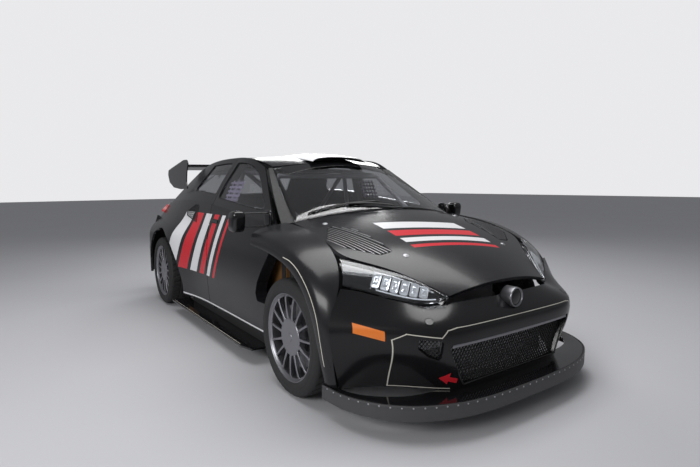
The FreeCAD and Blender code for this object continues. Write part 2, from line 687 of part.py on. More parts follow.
radiator = box("radiator_block", s.radiator_depth, s.grille_bottom_half * 2,
               s.grille_kink - s.grille_bottom, front_x + s.radiator_face - s.radiator_depth,
               -s.grille_bottom_half, s.grille_bottom)
keep("radiator", radiator)

lamp_upper_shares = [(0.105, 0.795, 0.558), (0.141, 0.705, 0.540), (0.179, 0.603, 0.518),
                     (0.217, 0.512, 0.492), (0.262, 0.418, 0.438)]
lamp_lower_shares = [(0.148, 0.860, 0.480), (0.179, 0.771, 0.460), (0.209, 0.670, 0.432),
                     (0.243, 0.527, 0.405), (0.262, 0.428, 0.420)]
lamp_bulge = 0.012


def lamp_grid(side):
    """The lens surface of a headlamp, a little proud between its two edges."""
    middle = [((a[0] + b[0]) / 2 + lamp_bulge, (a[1] + b[1]) / 2, (a[2] + b[2]) / 2 + lamp_bulge)
              for a, b in zip(lamp_upper_shares, lamp_lower_shares)]
    return trim_grid(place_grid([lamp_upper_shares, middle, lamp_lower_shares], side), half_gap)


lenses, housings = [], []
for word, side in SIDES:
    grid = lamp_grid(side)
    deep = at(0.1, 0.45, 0.3, side)
    lenses.append(slab(grid, deep, 0, s.glass_skin))
    lower = place_grid([lamp_lower_shares], side)[0]
    seated = grid[:-1] + [grid[-1][:1] + [p * 2 - q for p, q in zip(lower, grid[-1])][1:]]
    housing = slab(seated, deep, s.panel_skin, s.panel_skin * 1.5)
    housings.append(housing.cut(slab(bumper_grid, ENGINE_BAY, -s.seat_gap,
                                     s.bumper_skin + s.seat_gap * 2)))
keep("headlamp_lenses", feature("lamp_lens_pair", Part.makeCompound(lenses)))
keep("headlamps", feature("lamp_pair", Part.makeCompound(housings)))

pod = doc.addObject("Part::Cylinder", "badge_pod")
pod.setExpression("Radius", s.pod_radius.text)
pod.setExpression("Height", s.pod_depth.text)
pod.Placement = Placement(ORIGIN, Rotation(AXIS_Y, 90))
place(pod, front_x + s.bumper_nose - s.pod_depth - s.panel_skin, 0, s.badge_height)
keep("front_bumper", fuse("bumper_whole", [bumper_cut, pod]))


# Splitter: a flat tray with an upright lip

splitter_shares = ((0.3536, 0.0), (0.3525, 0.2), (0.3490, 0.356), (0.3376, 0.523),
                   (0.3125, 0.688), (0.2833, 0.800), (0.2433, 0.885), (0.1900, 0.944),
                   (0.1290, 0.960))


def splitter_outline(inset):
    """The plan of the tray, nose first, drawn in by a distance."""
    nose, wide = at(splitter_shares[0][0], splitter_shares[-1][1], 0), []
    tail = at(splitter_shares[-1][0], 0, 0).x
    for x_share, y_share in splitter_shares:
        p = at(x_share, -y_share, 0)
        wide.append(Vector(tail + (p.x - tail) * (nose.x - inset - tail) / (nose.x - tail),
                           p.y * (nose.y - inset) / nose.y, 0))
    return wide + [Vector(p.x, -p.y, 0) for p in reversed(wide) if p.y]


def curve_wire(points):
    """A smooth run through the points, closed straight across the tail."""
    ordered = sorted(points, key=lambda p: p.y)
    curve = Part.BSplineCurve()
    curve.interpolate(ordered)
    return Part.Wire([curve.toShape(), Part.LineSegment(ordered[-1], ordered[0]).toShape()])


outer_wire, inner_wire = curve_wire(splitter_outline(0)), curve_wire(splitter_outline(s.lip_skin))
tray = Part.Face(outer_wire).extrude(AXIS_Z * s.splitter_skin)
tray.translate(AXIS_Z * (s.lip_height - s.splitter_skin))
lip = Part.Face(outer_wire).extrude(AXIS_Z * s.lip_height)
lip = lip.cut(Part.Face(inner_wire).extrude(AXIS_Z * s.lip_height))
tray = tray.fuse(lip)
tray.translate(AXIS_Z * s.splitter_bottom)
pocket_width = s.tyre_width + s.kingpin_inset
for word, side in SIDES:
    pocket = Part.makeBox(s.splitter_back, pocket_width, s.roof_height)
    pocket.translate(Vector(front_x, -pocket_width / 2, 0))
    pocket.translate(AXIS_Y * (side * (splitter_shares[-1][1] * s.half_width - s.splitter_rim
                                       - pocket_width / 2)))
    tray = tray.cut(pocket)
keep("front_splitter", feature("splitter_tray", tray))

# Side skirts

skirts = []
skirt_shares = ((-0.197, 0.952), (-0.245, 0.985), (-0.60, 0.985), (-0.80, 0.99), (-0.845, 0.99))
skirt_root = s.floor_half_width + s.sill_width + s.seat_gap
for word, side in SIDES:
    plan = [at(x, y, 0, side) for x, y in skirt_shares]
    plan += [Vector(plan[-1].x, side * skirt_root, 0), Vector(plan[0].x, side * skirt_root, 0)]
    blade = prism([p + AXIS_Z * s.skirt_bottom for p in plan], AXIS_Z * s.skirt_skin)
    skirts.append(blade)
keep("side_skirts", feature("skirt_pair", Part.makeCompound(skirts)))

# Tail: bumper, diffuser, lamps, wing

tail_plan_shares = ((-1.2529, 0.0), (-1.251, 0.373), (-1.243, 0.64), (-1.229, 0.811),
                    (-1.204, 0.933), (-1.176, 0.976), (-1.148, 0.987))
tail_top_shares = [(-1.218, 0.0, 0.471), (-1.216, 0.373, 0.471), (-1.210, 0.64, 0.475),
                   (-1.202, 0.757, 0.500), (-1.190, 0.821, 0.571), (-1.171, 0.875, 0.607),
                   (-1.148, 0.890, 0.610)]
tail_levels_shares = ((0.186, 0.008), (0.286, 0.0), (0.371, 0.0), (0.421, 0.004))
tail_rows = [[(x + back * (1 - abs(y)), y, z) for x, y in tail_plan_shares]
             for z, back in tail_levels_shares]
tail_bumper_grid = trim_grid(mirrored_grid(tail_rows + [tail_top_shares]), half_gap)
quarter_rooms = [slab(trim_grid(side_grid(quarter_lower_shares, side), half_gap), CABIN,
                      -s.seat_gap, s.panel_skin + s.seat_gap * 2) for word, side in SIDES]
tail_bumper_cut = slab(tail_bumper_grid, at(-1.0, 0, 0.3), 0, s.bumper_skin).cut(quarter_rooms)
keep("rear_bumper", feature("tail_bumper_sheet",
                            max(tail_bumper_cut.Solids, key=lambda solid: solid.Volume)))
tail_lamp_shares = [
    [(-1.150, 0.845, 0.640), (-1.168, 0.815, 0.636), (-1.181, 0.765, 0.625)],
    [(-1.150, 0.815, 0.665), (-1.164, 0.790, 0.662), (-1.174, 0.755, 0.655)],
    [(-1.142, 0.780, 0.688), (-1.151, 0.765, 0.686), (-1.158, 0.748, 0.682)],
]
tail_lamps = []
for word, side in SIDES:
    grid = place_grid(tail_lamp_shares, side)
    lamp = slab(grid, at(-1.0, 0.4, 0.5, side), 0, s.panel_skin * 2)
    rooms = [slab(trim_grid(side_grid(rows, side), half_gap), CABIN, -s.seat_gap, s.overrun)
             for rows in (quarter_lower_shares, quarter_upper_shares)]
    rooms.append(slab(tail_grid, CABIN, -s.shut_gap, s.overrun))
    tail_lamps.append(max(lamp.cut(rooms).Solids, key=lambda solid: solid.Volume))
keep("tail_lamps", feature("tail_lamp_pair", Part.makeCompound(tail_lamps)))

diffuser_length = s.wheelbase * 0.18
diffuser = [Part.makeBox(diffuser_length, s.floor_half_width * 1.3, s.floor_skin)]
for k in range(int(s.diffuser_fins)):
    fin = Part.makeBox(diffuser_length, s.fin_skin, s.fin_height)
    fin.translate(Vector(0, (s.floor_half_width * 1.3 - s.fin_skin) * k / (s.diffuser_fins - 1),
                         -s.fin_height + s.floor_skin))
    diffuser.append(fin)
diffuser = diffuser[0].fuse(diffuser[1:])
beam_bottom = s.kingpin_foot + s.arm_radius + s.seat_gap
diffuser.translate(Vector(rear_x - s.wheelbase * 0.245, -s.floor_half_width * 0.65,
                          beam_bottom - s.seat_gap - s.floor_skin))
keep("rear_diffuser", feature("diffuser_block", diffuser))

plane_rows_shares = [
    [(-0.972, 0.0, 0.975), (-0.972, 0.5, 0.975), (-0.972, 0.76, 0.972)],
    [(-1.005, 0.0, 0.976), (-1.005, 0.5, 0.976), (-1.005, 0.76, 0.973)],
    [(-1.060, 0.0, 0.955), (-1.060, 0.5, 0.955), (-1.060, 0.76, 0.952)],
]
main_plane = slab(mirrored_grid(plane_rows_shares), at(-1.0, 0, 0.5), 0, s.wing_skin)
endplate_shares = ((-0.872, 0.975), (-0.890, 0.998), (-0.925, 0.998), (-1.030, 0.968),
                   (-1.085, 0.952), (-1.128, 0.938), (-1.135, 0.905), (-1.118, 0.850),
                   (-1.060, 0.812), (-0.970, 0.800), (-0.885, 0.804), (-0.900, 0.850),
                   (-0.892, 0.915))
strut_shares = ((-0.972, 0.912), (-0.976, 0.970), (-1.050, 0.954), (-1.035, 0.940),
                (-1.012, 0.880))
wing_parts = [main_plane]
for word, side in SIDES:
    plate = prism([at(x, 0.755, z, side) for x, z in endplate_shares],
                  AXIS_Y * (side * s.endplate_skin), s.wing_skin)
    wing_parts.append(plate)
    strut = prism([at(x, 0.3, z, side) for x, z in strut_shares],
                  AXIS_Y * (side * s.endplate_skin))
    wing_parts.append(strut)
gate_room = slab(tail_grid, CABIN, 0, s.overrun)
wing_whole = wing_parts[0].fuse(wing_parts[1:]).cut(gate_room)
wing_whole = max(wing_whole.Solids, key=lambda solid: solid.Volume)
wing_whole.translate((AXIS_Z - AXIS_X) * (s.seat_gap * 0.8))
keep("rear_wing", feature("wing_whole", wing_whole))

# Shell: floor, sills, bulkheads, pillars and rails

roof_well_shares = ((-0.36, -0.45), (-0.36, 0.45), (-0.41, 0.53), (-0.80, 0.52), (-0.90, 0.47),
                    (-0.90, -0.47), (-0.80, -0.52), (-0.41, -0.53))
cowl_share = 0.08
pillar_shares = [
    [(-0.128, 0.700, 0.664), (-0.142, 0.785, 0.650)],
    [(-0.243, 0.655, 0.789), (-0.251, 0.700, 0.788)],
    [(-0.358, 0.542, 0.915), (-0.346, 0.594, 0.913)],
]

floor_length = s.floor_back - s.firewall_back + s.wall_skin
wall_height = firewall_top - s.floor_bottom
floor_plate = box("floor_plate", floor_length, s.floor_half_width * 2, s.floor_skin,
                  front_x - s.floor_back, -s.floor_half_width, s.floor_bottom)
tunnel = box("tunnel_block", floor_length, s.tunnel_width, s.tunnel_height,
             front_x - s.floor_back, -s.tunnel_width / 2, s.floor_bottom)
firewall = box("firewall_plate", s.wall_skin, s.floor_half_width * 2, wall_height,
               front_x - s.firewall_back, -s.floor_half_width, s.floor_bottom)
bulkhead = box("bulkhead_plate", s.wall_skin, s.floor_half_width * 2,
               bulkhead_top - s.floor_bottom, front_x - s.bulkhead_back,
               -s.floor_half_width, s.floor_bottom)
boot_plate = box("boot_plate", s.floor_tail - s.bulkhead_back, s.boot_half_width * 2,
                 s.floor_skin, front_x - s.floor_tail, -s.boot_half_width, s.boot_floor)
tunnel_core = box("tunnel_core", floor_length + s.overrun * 2, s.tunnel_width - s.wall_skin * 2,
                  s.tunnel_height - s.wall_skin + s.overrun, front_x - s.floor_back - s.overrun,
                  -s.tunnel_width / 2 + s.wall_skin, s.floor_bottom - s.overrun)
pan = fuse("pan_solid", [floor_plate, tunnel, firewall, bulkhead])
floor_parts = [cut("pan_cut", pan, [tunnel_core])]
front_parts, rear_parts, shell_parts, liners = [], [boot_plate], [], []
roof_mat = slab(roof_grid, UNDER_ROOF, s.roof_skin + s.seat_gap, s.rail_depth)
light_well = prism([at(x, y, 0.5) for x, y in roof_well_shares], AXIS_Z * s.roof_height,
                   s.rail_width)
shell_parts.append(feature("roof_frame", roof_mat.cut(light_well)))
across = normals(screen_grid, CABIN)
cowl_top = [p + (q - p) * cowl_share + n * (s.glass_skin + s.seat_gap)
            for p, q, n in zip(screen_grid[0], screen_grid[1], across[0])]
cowl_reach = s.floor_half_width / cowl_top[-1].y
nose_bar = Part.makeBox(s.front_overhang, s.beam_inner * 3, s.bumper_beam)
nose_bar.translate(Vector(front_x + s.radiator_face - s.radiator_depth - s.beam_width * 0.6,
                          -s.beam_inner * 1.5, s.grille_top + s.wall_skin / 2))
nose_bar = nose_bar.cut(slab(bumper_grid, ENGINE_BAY, -s.overrun * 2,
                             s.bumper_skin + s.overrun * 2 + s.seat_gap))
front_parts.append(feature("nose_bar", min(nose_bar.Solids, key=lambda bit: bit.CenterOfMass.x)))
tail_bar = Part.makeBox(s.floor_tail / 5, s.beam_inner * 3, s.bumper_beam)
tail_bar.translate(Vector(front_x - s.floor_tail * 1.2, -s.beam_inner * 1.5, s.boot_floor))
tail_bar = tail_bar.cut(slab(tail_bumper_grid, at(-1.0, 0, 0.3), -s.overrun * 5,
                             s.bumper_skin + s.overrun * 5 + s.seat_gap))
rear_parts.append(feature("tail_bar", max(tail_bar.Solids, key=lambda bit: bit.CenterOfMass.x)))
cowl_foot = [Vector(front_x - s.firewall_back + s.wall_skin / 2, p.y * cowl_reach,
                    firewall_top - s.wall_skin) for p in cowl_top]
screen_room = slab(screen_grid, CABIN, -s.overrun / 2, s.glass_skin + s.overrun / 2 + s.seat_gap)
cowl = slab([cowl_top, cowl_foot], ENGINE_BAY, 0, s.wall_skin).cut(screen_room)
shell_parts.append(feature("cowl", cowl))
for word, side in SIDES:
    y_low = s.floor_half_width if side > 0 else -(s.floor_half_width + s.sill_width)
    sill = box("sill_" + word, s.sill_tail - s.sill_front, s.sill_width, s.sill_height,
               front_x - s.sill_tail, y_low, s.floor_bottom)
    wall_y = s.floor_half_width - s.wall_skin if side > 0 else -s.floor_half_width
    side_wall = box("footwell_" + word, s.side_wall_reach, s.wall_skin,
                    firewall_top - s.floor_bottom,
                    front_x - s.firewall_back - s.side_wall_reach, wall_y, s.floor_bottom)
    boot_y = s.boot_half_width - s.wall_skin if side > 0 else -s.boot_half_width
    boot_wall = box("boot_wall_" + word, s.floor_tail - s.bulkhead_back, s.wall_skin,
                    bulkhead_top - s.boot_floor, front_x - s.floor_tail, boot_y, s.boot_floor)
    post = box("post_" + word, s.wall_skin * 4, s.wall_skin * 5, firewall_top * 0.95 -
               s.floor_bottom, front_x - s.sill_front - s.wall_skin * 3,
               side * s.floor_half_width - s.wall_skin * 2.5, s.floor_bottom)
    rooms = [slab(side_grid(rows, side), CABIN, -s.overrun / 2, depth + s.overrun / 2 + s.shut_gap)
             for rows, depth in ((door_lower_shares, s.door_depth),
                                 (door_upper_shares, s.door_frame_depth))]
    skins = [slab(trim_grid(side_grid(rows, side), half_gap), CABIN, -s.overrun / 2,
                  s.panel_skin + s.overrun / 2 + s.seat_gap)
             for rows in (quarter_lower_shares, quarter_upper_shares)]
    wing_room = slab(place_grid(wing_shares, side), at(0.0, 0.5, 0.2, side), -s.overrun / 2,
                     s.panel_skin + s.overrun / 2 + s.seat_gap)
    roof_room = slab(roof_grid, UNDER_ROOF, -s.overrun / 2, s.roof_skin + s.overrun / 2 + s.seat_gap)
    pillar = slab(place_grid(pillar_shares, side), CABIN, 0, s.pillar_depth)
    pillar = pillar.cut(rooms + [wing_room, roof_room, screen_room])
    biggest = max(pillar.Solids, key=lambda solid: solid.Volume)
    jamb_parts = []
    for rows_shares in (quarter_lower_shares, quarter_upper_shares):
        skin_back = offset_grid(trim_grid(side_grid(rows_shares, side), half_gap), CABIN,
                                s.panel_skin + s.seat_gap)
        across = normals(skin_back, CABIN)
        jamb = [[line[0], line[0] + ns[0] * s.jamb_depth]
                for line, ns in zip(skin_back, across)]
        below = [p + (p - q) * 0.2 for p, q in zip(jamb[0], jamb[1])]
        jamb_parts.append(slab([below] + jamb, at(-1.0, 0.7, 0.4, side), 0, s.pillar_depth))
    jamb = jamb_parts[0].fuse(jamb_parts[1:]).cut(rooms + skins + [roof_room])
    tallest = max(jamb.Solids, key=lambda solid: solid.Volume)
    beam_y = s.beam_inner if side > 0 else -(s.beam_inner + s.beam_width)
    leg_x = s.radiator_face - s.radiator_depth - s.seat_gap
    front_beam = box("front_beam_" + word, leg_x + s.firewall_back, s.beam_width,
                     s.rack_height - s.rack_radius - s.seat_gap - beam_bottom,
                     front_x - s.firewall_back, beam_y, beam_bottom)
    leg = box("beam_leg_" + word, s.beam_width * 0.6, s.beam_width,
              s.grille_top + s.bumper_beam - beam_bottom, front_x + leg_x - s.beam_width * 0.6,
              beam_y, beam_bottom)
    rear_beam = box("rear_beam_" + word, s.floor_tail - s.bulkhead_back, s.beam_width,
                    s.boot_floor + s.floor_skin - beam_bottom, front_x - s.floor_tail, beam_y,
                    beam_bottom)
    apron_y = s.apron_half - s.wall_skin if side > 0 else -s.apron_half
    tower_top = s.kingpin_foot + (s.kingpin_top - s.kingpin_foot) * 0.95 + s.strut_radius * 0.19
    apron = box("apron_" + word, s.firewall_back + s.apron_front, s.wall_skin,
                tower_top - s.apron_bottom + s.wall_skin, front_x - s.firewall_back, apron_y,
                s.apron_bottom)
    tower_reach = s.wheel_face - s.kingpin_inset - s.kingpin_lean + s.tower_half - s.apron_half
    tower_y = s.apron_half - s.wall_skin / 2
    tower_y = tower_y if side > 0 else -(tower_y + tower_reach)
    tower = box("tower_" + word, s.tower_half * 2, tower_reach, s.wall_skin,
                front_x - s.kingpin_lean * 0.35 - s.tower_half, tower_y, tower_top + s.seat_gap)
    rear_top = s.kingpin_top * 0.9 + s.strut_radius * 0.2 + s.seat_gap
    rear_reach = s.wheel_face - s.kingpin_inset - s.kingpin_lean + s.tower_half - s.boot_half_width
    rear_y = s.boot_half_width - s.wall_skin / 2
    rear_y = rear_y if side > 0 else -(rear_y + rear_reach)
    rear_tower = box("rear_tower_" + word, s.tower_half * 2, rear_reach, s.wall_skin,
                     rear_x - s.tower_half, rear_y, rear_top)
    floor_parts += [sill, side_wall, post]
    front_parts += [front_beam, leg, apron, tower]
    rear_parts += [rear_beam, rear_tower, boot_wall]
    shell_parts += [feature("pillar_" + word, biggest), feature("jamb_" + word, tallest)]
    liner_base = s.floor_bottom + s.sill_height + s.seat_gap
    liner_front = front_x - s.sill_front + s.wall_skin + s.seat_gap
    wall_y = s.floor_half_width + s.seat_gap if side > 0 else -s.liner_half
    plate_y = s.liner_half - s.liner_skin if side > 0 else -s.liner_half
    rear_y = s.floor_half_width + s.sill_width - s.liner_skin
    rear_y = rear_y if side > 0 else -(rear_y + s.liner_skin)
    liner_height = firewall_top * 0.95 - liner_base
    wall = box("liner_wall_" + word, s.liner_skin, s.liner_half - s.floor_half_width - s.seat_gap,
               liner_height, liner_front, wall_y, liner_base)
    plate = box("liner_plate_" + word, s.side_wall_reach, s.liner_skin, liner_height,
                front_x - s.sill_front - s.wall_skin * 3 - s.seat_gap - s.side_wall_reach,
                plate_y, liner_base)
    rear_plate = box("liner_rear_" + word, s.side_wall_reach * 1.2, s.liner_skin,
                     bulkhead_top - liner_base, front_x - s.sill_tail - s.side_wall_reach * 0.6,
                     rear_y, liner_base)
    liners += [wall, plate, rear_plate]
keep("arch_liners", fuse("liner_whole", liners))
floor_pan = keep("floor_pan", fuse("floor_whole", floor_parts))
for name, parts in (("front_frame", front_parts), ("rear_frame", rear_parts),
                    ("body_shell", shell_parts)):
    keep(name, cut(name + "_cut", fuse(name + "_whole", parts), [floor_pan]))

# Cabin: cage, seats, dashboard, steering wheel

cage_paths = []
for side in (-1, 1):
    top_front = at(-0.365, 0.50, 0.872, side)
    top_back = at(-0.57, 0.53, 0.912, side)
    foot_front = at(-0.20, 0.62, 0.085, side)
    knee = at(-0.20, 0.62, 0.60, side)
    hoop_foot = at(-0.60, 0.62, 0.085, side)
    hoop_waist = at(-0.60, 0.64, 0.62, side)
    stay_foot = at(-0.95, 0.50, 0, side)
    stay_foot.z = s.boot_floor + s.floor_skin + s.cage_radius * 0.78 + s.seat_gap
    cage_paths.append([foot_front, knee, top_front, top_back, hoop_waist, hoop_foot])
    cage_paths.append([top_back, stay_foot])
    cage_paths.append([at(-0.20, 0.62, 0.30, side), at(-0.60, 0.63, 0.50, side)])
    cage_paths.append([at(-0.20, 0.62, 0.55, side), at(-0.60, 0.62, 0.20, side)])
cage_paths.append([at(-0.365, -0.50, 0.872), at(-0.365, 0.50, 0.872)])
cage_paths.append([at(-0.57, -0.53, 0.912), at(-0.57, 0.53, 0.912)])
cage_paths.append([at(-0.57, -0.53, 0.912), at(-0.60, 0.62, 0.30)])
cage_bars = [tube(path, s.cage_radius) for path in cage_paths]
keep("roll_cage", feature("cage_whole", cage_bars[0].fuse(cage_bars[1:])))

seat_profile_shares = ((0.95, 0.10), (0.62, 0.04), (0.25, 0.0), (0.02, 0.06), (-0.10, 0.35),
                       (-0.20, 0.75), (-0.28, 1.10), (-0.30, 1.30))
seat_cross_shares = ((-1.0, 0.42), (-0.88, 0.16), (-0.55, 0.02), (0.0, 0.0), (0.55, 0.02),
                     (0.88, 0.16), (1.0, 0.42))
seats = []
for side in (-1, 1):
    grid = []
    foot = Vector(front_x - s.seat_back, side * s.seat_side, s.floor_bottom * 2)
    for i, (along, up) in enumerate(seat_profile_shares):
        ahead = Vector(along * s.seat_half * 2, 0, up * s.seat_half * 2)
        lean = min(1.0, i / 4.0)
        wing_way = Vector(math.sin(lean * math.pi / 2.2), 0, math.cos(lean * math.pi / 2.2))
        grid.append([foot + ahead + AXIS_Y * (across * s.seat_half)
                     + wing_way * (rise * s.seat_half) for across, rise in seat_cross_shares])
    seats.append(slab(grid, foot + Vector(s.seat_half * 3, 0, s.seat_half * 3), 0,
                      -s.seat_skin))
keep("seats", feature("seat_pair", Part.makeCompound(seats)))

dash_shares = [
    [(-0.153, 0.0, 0.650), (-0.153, 0.3, 0.648), (-0.153, 0.575, 0.640)],
    [(-0.235, 0.0, 0.635), (-0.235, 0.3, 0.633), (-0.235, 0.575, 0.625)],
    [(-0.265, 0.0, 0.575), (-0.265, 0.3, 0.573), (-0.265, 0.575, 0.570)],
]
dash_grid = mirrored_grid(dash_shares)
keep("dashboard", feature("dash_sheet", slab(dash_grid, at(-0.15, 0, 0.4), 0, s.panel_skin)))

column_lean = 22
ring = doc.addObject("Part::Torus", "wheel_ring")
ring.setExpression("Radius1", s.wheel_rim_radius.text)
ring.setExpression("Radius2", s.wheel_rim_tube.text)
bars = []
for angle in (0, 120, 240):
    bar = Part.makeBox(s.wheel_rim_radius, s.column_radius * 2, s.wheel_rim_tube / 2)
    bar.translate(Vector(0, -s.column_radius, -s.wheel_rim_tube / 4))
    bar.rotate(ORIGIN, AXIS_Z, angle + 180)
    bars.append(bar)
tilt = math.radians(column_lean)
column_length = (s.steering_back - s.firewall_back - s.column_radius * math.sin(tilt)
                 - s.seat_gap) / math.cos(tilt)
column = Part.makeCylinder(s.column_radius, column_length, ORIGIN, -AXIS_Z)
hub_cap = Part.makeCylinder(s.column_radius * 2.6, s.wheel_rim_tube, ORIGIN - AXIS_Z *
                            (s.wheel_rim_tube / 2))
spider = feature("wheel_spider", bars[0].fuse(bars[1:] + [column, hub_cap]))
wheel_whole = fuse("steering_wheel_whole", [ring, spider])
wheel_whole.Placement = Placement(Vector(front_x - s.steering_back, s.steering_side,
                                         s.steering_height), Rotation(AXIS_Y, column_lean - 90))
keep("steering_wheel", wheel_whole)

# Engine block, exhaust, suspension

keep("engine_block", box("engine_box", s.engine_length, s.engine_width, s.engine_height,
                         front_x + s.engine_back - s.engine_length / 2, -s.engine_width / 2,
                         s.engine_bottom))
engine_face = Vector(front_x + s.engine_back - s.engine_length / 2 - s.seat_gap, 0, 0)
pipe_points = [engine_face + AXIS_Z * (0.30 * s.roof_height), at(-0.05, 0, 0.30),
               at(-0.095, 0, 0.25), at(-0.140, 0, 0.12), at(-0.85, 0, 0.12),
               at(-0.95, 0, 0.19), at(-1.08, 0, 0.19), at(-1.16, -0.25, 0.155),
               at(-1.248, -0.25, 0.155)]
keep("exhaust", feature("exhaust_pipe", tube(pipe_points, s.exhaust_radius)))

front_links, rear_links = [], []
for word, side in SIDES:
    foot = Vector(front_x, side * (s.wheel_face - s.kingpin_inset), s.kingpin_foot)
    head = Vector(front_x - s.kingpin_lean * 0.35,
                  side * (s.wheel_face - s.kingpin_inset - s.kingpin_lean), s.kingpin_top)
    stub_y = side * (wheel_y + s.rim_half_width - s.spoke_recess - s.disc_recess - s.disc_skin
                     - s.seat_gap)
    stub_end = Vector(front_x, stub_y, s.tyre_radius)
    mid = foot + (head - foot) * ((s.tyre_radius - s.kingpin_foot)
                                  / (s.kingpin_top - s.kingpin_foot))
    strut = Part.makeCylinder(s.strut_radius, (head - foot).Length * 0.95, foot, head - foot)
    stub = Part.makeCylinder(s.strut_radius * 1.3, abs(stub_y - mid.y),
                             Vector(front_x, mid.y, s.tyre_radius), AXIS_Y * side)
    arm_end = Vector(front_x - s.steer_arm, foot.y, s.rack_height)
    arm = tube([mid, arm_end], s.arm_radius)
    keep("knuckle_" + word, feature("knuckle_" + word + "_whole", strut.fuse([stub, arm])))
    root = Vector(front_x, side * s.arm_root, s.kingpin_foot)
    low = foot - AXIS_Z * (s.arm_radius + s.strut_radius * 0.24 + s.seat_gap)
    front_links.append(tube([root + AXIS_X * s.steer_arm, low, root - AXIS_X * s.steer_arm],
                            s.arm_radius))
    rear_foot = Vector(rear_x, side * (s.wheel_face - s.kingpin_inset), s.kingpin_foot)
    rear_head = Vector(rear_x, side * (s.wheel_face - s.kingpin_inset - s.kingpin_lean),
                       s.kingpin_top * 0.9)
    rear_mid = rear_foot + (rear_head - rear_foot) * 0.25
    bars = [tube([rear_foot, rear_head], s.strut_radius),
            tube([Vector(rear_x + s.steer_arm, side * s.arm_root, s.kingpin_foot), rear_foot,
                  Vector(rear_x - s.steer_arm, side * s.arm_root, s.kingpin_foot)],
                 s.arm_radius),
            Part.makeCylinder(s.strut_radius * 1.3, abs(stub_y - rear_mid.y),
                              Vector(rear_x, rear_mid.y, s.tyre_radius), AXIS_Y * side)]
    rear_links.append(bars[0].fuse(bars[1:]))
front_beam = Part.makeBox(s.steer_arm * 2.4, s.arm_root * 2.1, s.arm_radius * 2,
                          Vector(front_x - s.steer_arm * 1.2, -s.arm_root * 1.05,
                                 s.kingpin_foot - s.arm_radius))
rear_beam = front_beam.copy()
rear_beam.translate(AXIS_X * -s.wheelbase)
keep("front_suspension", feature("front_links", front_beam.fuse(front_links)))
keep("rear_suspension", feature("rear_links", rear_beam.fuse(rear_links)))
rack = doc.addObject("Part::Cylinder", "rack_bar")
rack.setExpression("Radius", s.rack_radius.text)
rack.setExpression("Height", (s.rack_half * 2).text)
rack.Placement = Placement(ORIGIN, Rotation(AXIS_X, -90))
place(rack, front_x - s.steer_arm - s.rack_radius * 2.2, -s.rack_half, s.rack_height)
keep("steering_rack", rack)


# Wheels

def origin_plane(body, role):
    """One of a body's own planes or axes."""
    return next(part for part in body.Origin.OriginFeatures if part.Role == role)


def outline_sketch(body, name, role, points, lift=None):
    """A closed outline of lines whose corners are bound to sizes."""
    made = body.newObject("Sketcher::SketchObject", name)
    made.AttachmentSupport = (origin_plane(body, role), [""])
    made.MapMode = "FlatFace"
    if lift is not None:
        made.setExpression("AttachmentOffset.Base.z", Size.words(lift))
    places = [Vector(x, y, 0) for x, y in points]
    count = len(points)
    for i in range(count):
        made.addGeometry(Part.LineSegment(places[i], places[(i + 1) % count]), False)
    for i in range(count):
        made.addConstraint(Sketcher.Constraint("Coincident", i, 2, (i + 1) % count, 1))
    for i, point in enumerate(points):
        for kind, axis_line, value in (("DistanceX", -2, point[0]), ("DistanceY", -1, point[1])):
            if abs(value) < 1e-9:
                made.addConstraint(Sketcher.Constraint("PointOnObject", i, 1, axis_line))
            else:
                index = made.addConstraint(Sketcher.Constraint(kind, -1, 1, i, 1, float(value)))
                made.setExpression("Constraints[" + str(index) + "]", Size.words(value))
    return made


def turned(body, name, profile):
    """A full turn of an outline about the body's Y axis."""
    made = body.newObject("PartDesign::Revolution", name)
    made.Profile = profile
    made.ReferenceAxis = (profile, ["V_Axis"])
    made.Angle = 360
    return made


def padded(body, name, profile, length):
    made = body.newObject("PartDesign::Pad", name)
    made.Profile = profile
    made.setExpression("Length", Size.words(length))
    return made


def tyre(name):
    """A low tyre: straight walls, chamfered shoulders, open at the bead."""
    body = doc.addObject("PartDesign::Body", name)
    half, bead = s.tyre_width / 2, s.rim_lip_radius + s.seat_gap
    outline = [(bead, -half + s.tyre_shoulder / 3), (s.tyre_radius - s.tyre_shoulder, -half),
               (s.tyre_radius, -half + s.tyre_shoulder), (s.tyre_radius, half - s.tyre_shoulder),
               (s.tyre_radius - s.tyre_shoulder, half), (bead, half - s.tyre_shoulder / 3),
               (bead, -half + s.tyre_shoulder / 3)]
    turned(body, name + "_turn", outline_sketch(body, name + "_wall", "XY_Plane", outline[:-1]))
    return body


def rim(name):
    """A fifteen-spoke rim with its flat hub face, brake disc and hub."""
    body = doc.addObject("PartDesign::Body", name)
    half, wall = s.rim_half_width, s.rim_wall
    outline = [(s.rim_lip_radius, -half), (s.rim_lip_radius, -half + wall),
               (s.rim_barrel_radius + wall, -half + wall * 4),
               (s.rim_barrel_radius + wall, half - wall * 4), (s.rim_lip_radius, half - wall),
               (s.rim_lip_radius, half), (s.rim_barrel_radius, half - wall * 2),
               (s.rim_barrel_radius, -half + wall * 2)]
    turned(body, name + "_turn", outline_sketch(body, name + "_barrel", "XY_Plane", outline))
    lift = s.rim_half_width - s.spoke_recess - s.spoke_depth
    tip = s.rim_barrel_radius + wall / 2
    spoke_outline = [(s.hub_radius / 2, -s.spoke_root), (tip, -s.spoke_tip), (tip, s.spoke_tip),
                     (s.hub_radius / 2, s.spoke_root)]
    spoke = padded(body, name + "_spoke", outline_sketch(body, name + "_spoke_plan", "XZ_Plane",
                                                         spoke_outline, lift), s.spoke_depth)
    ring = body.newObject("PartDesign::PolarPattern", name + "_spokes")
    ring.Originals = [spoke]
    ring.Axis = (origin_plane(body, "Y_Axis"), [""])
    ring.Angle = 360
    ring.setExpression("Occurrences", s.spoke_count.text)
    body.Tip = ring
    return body


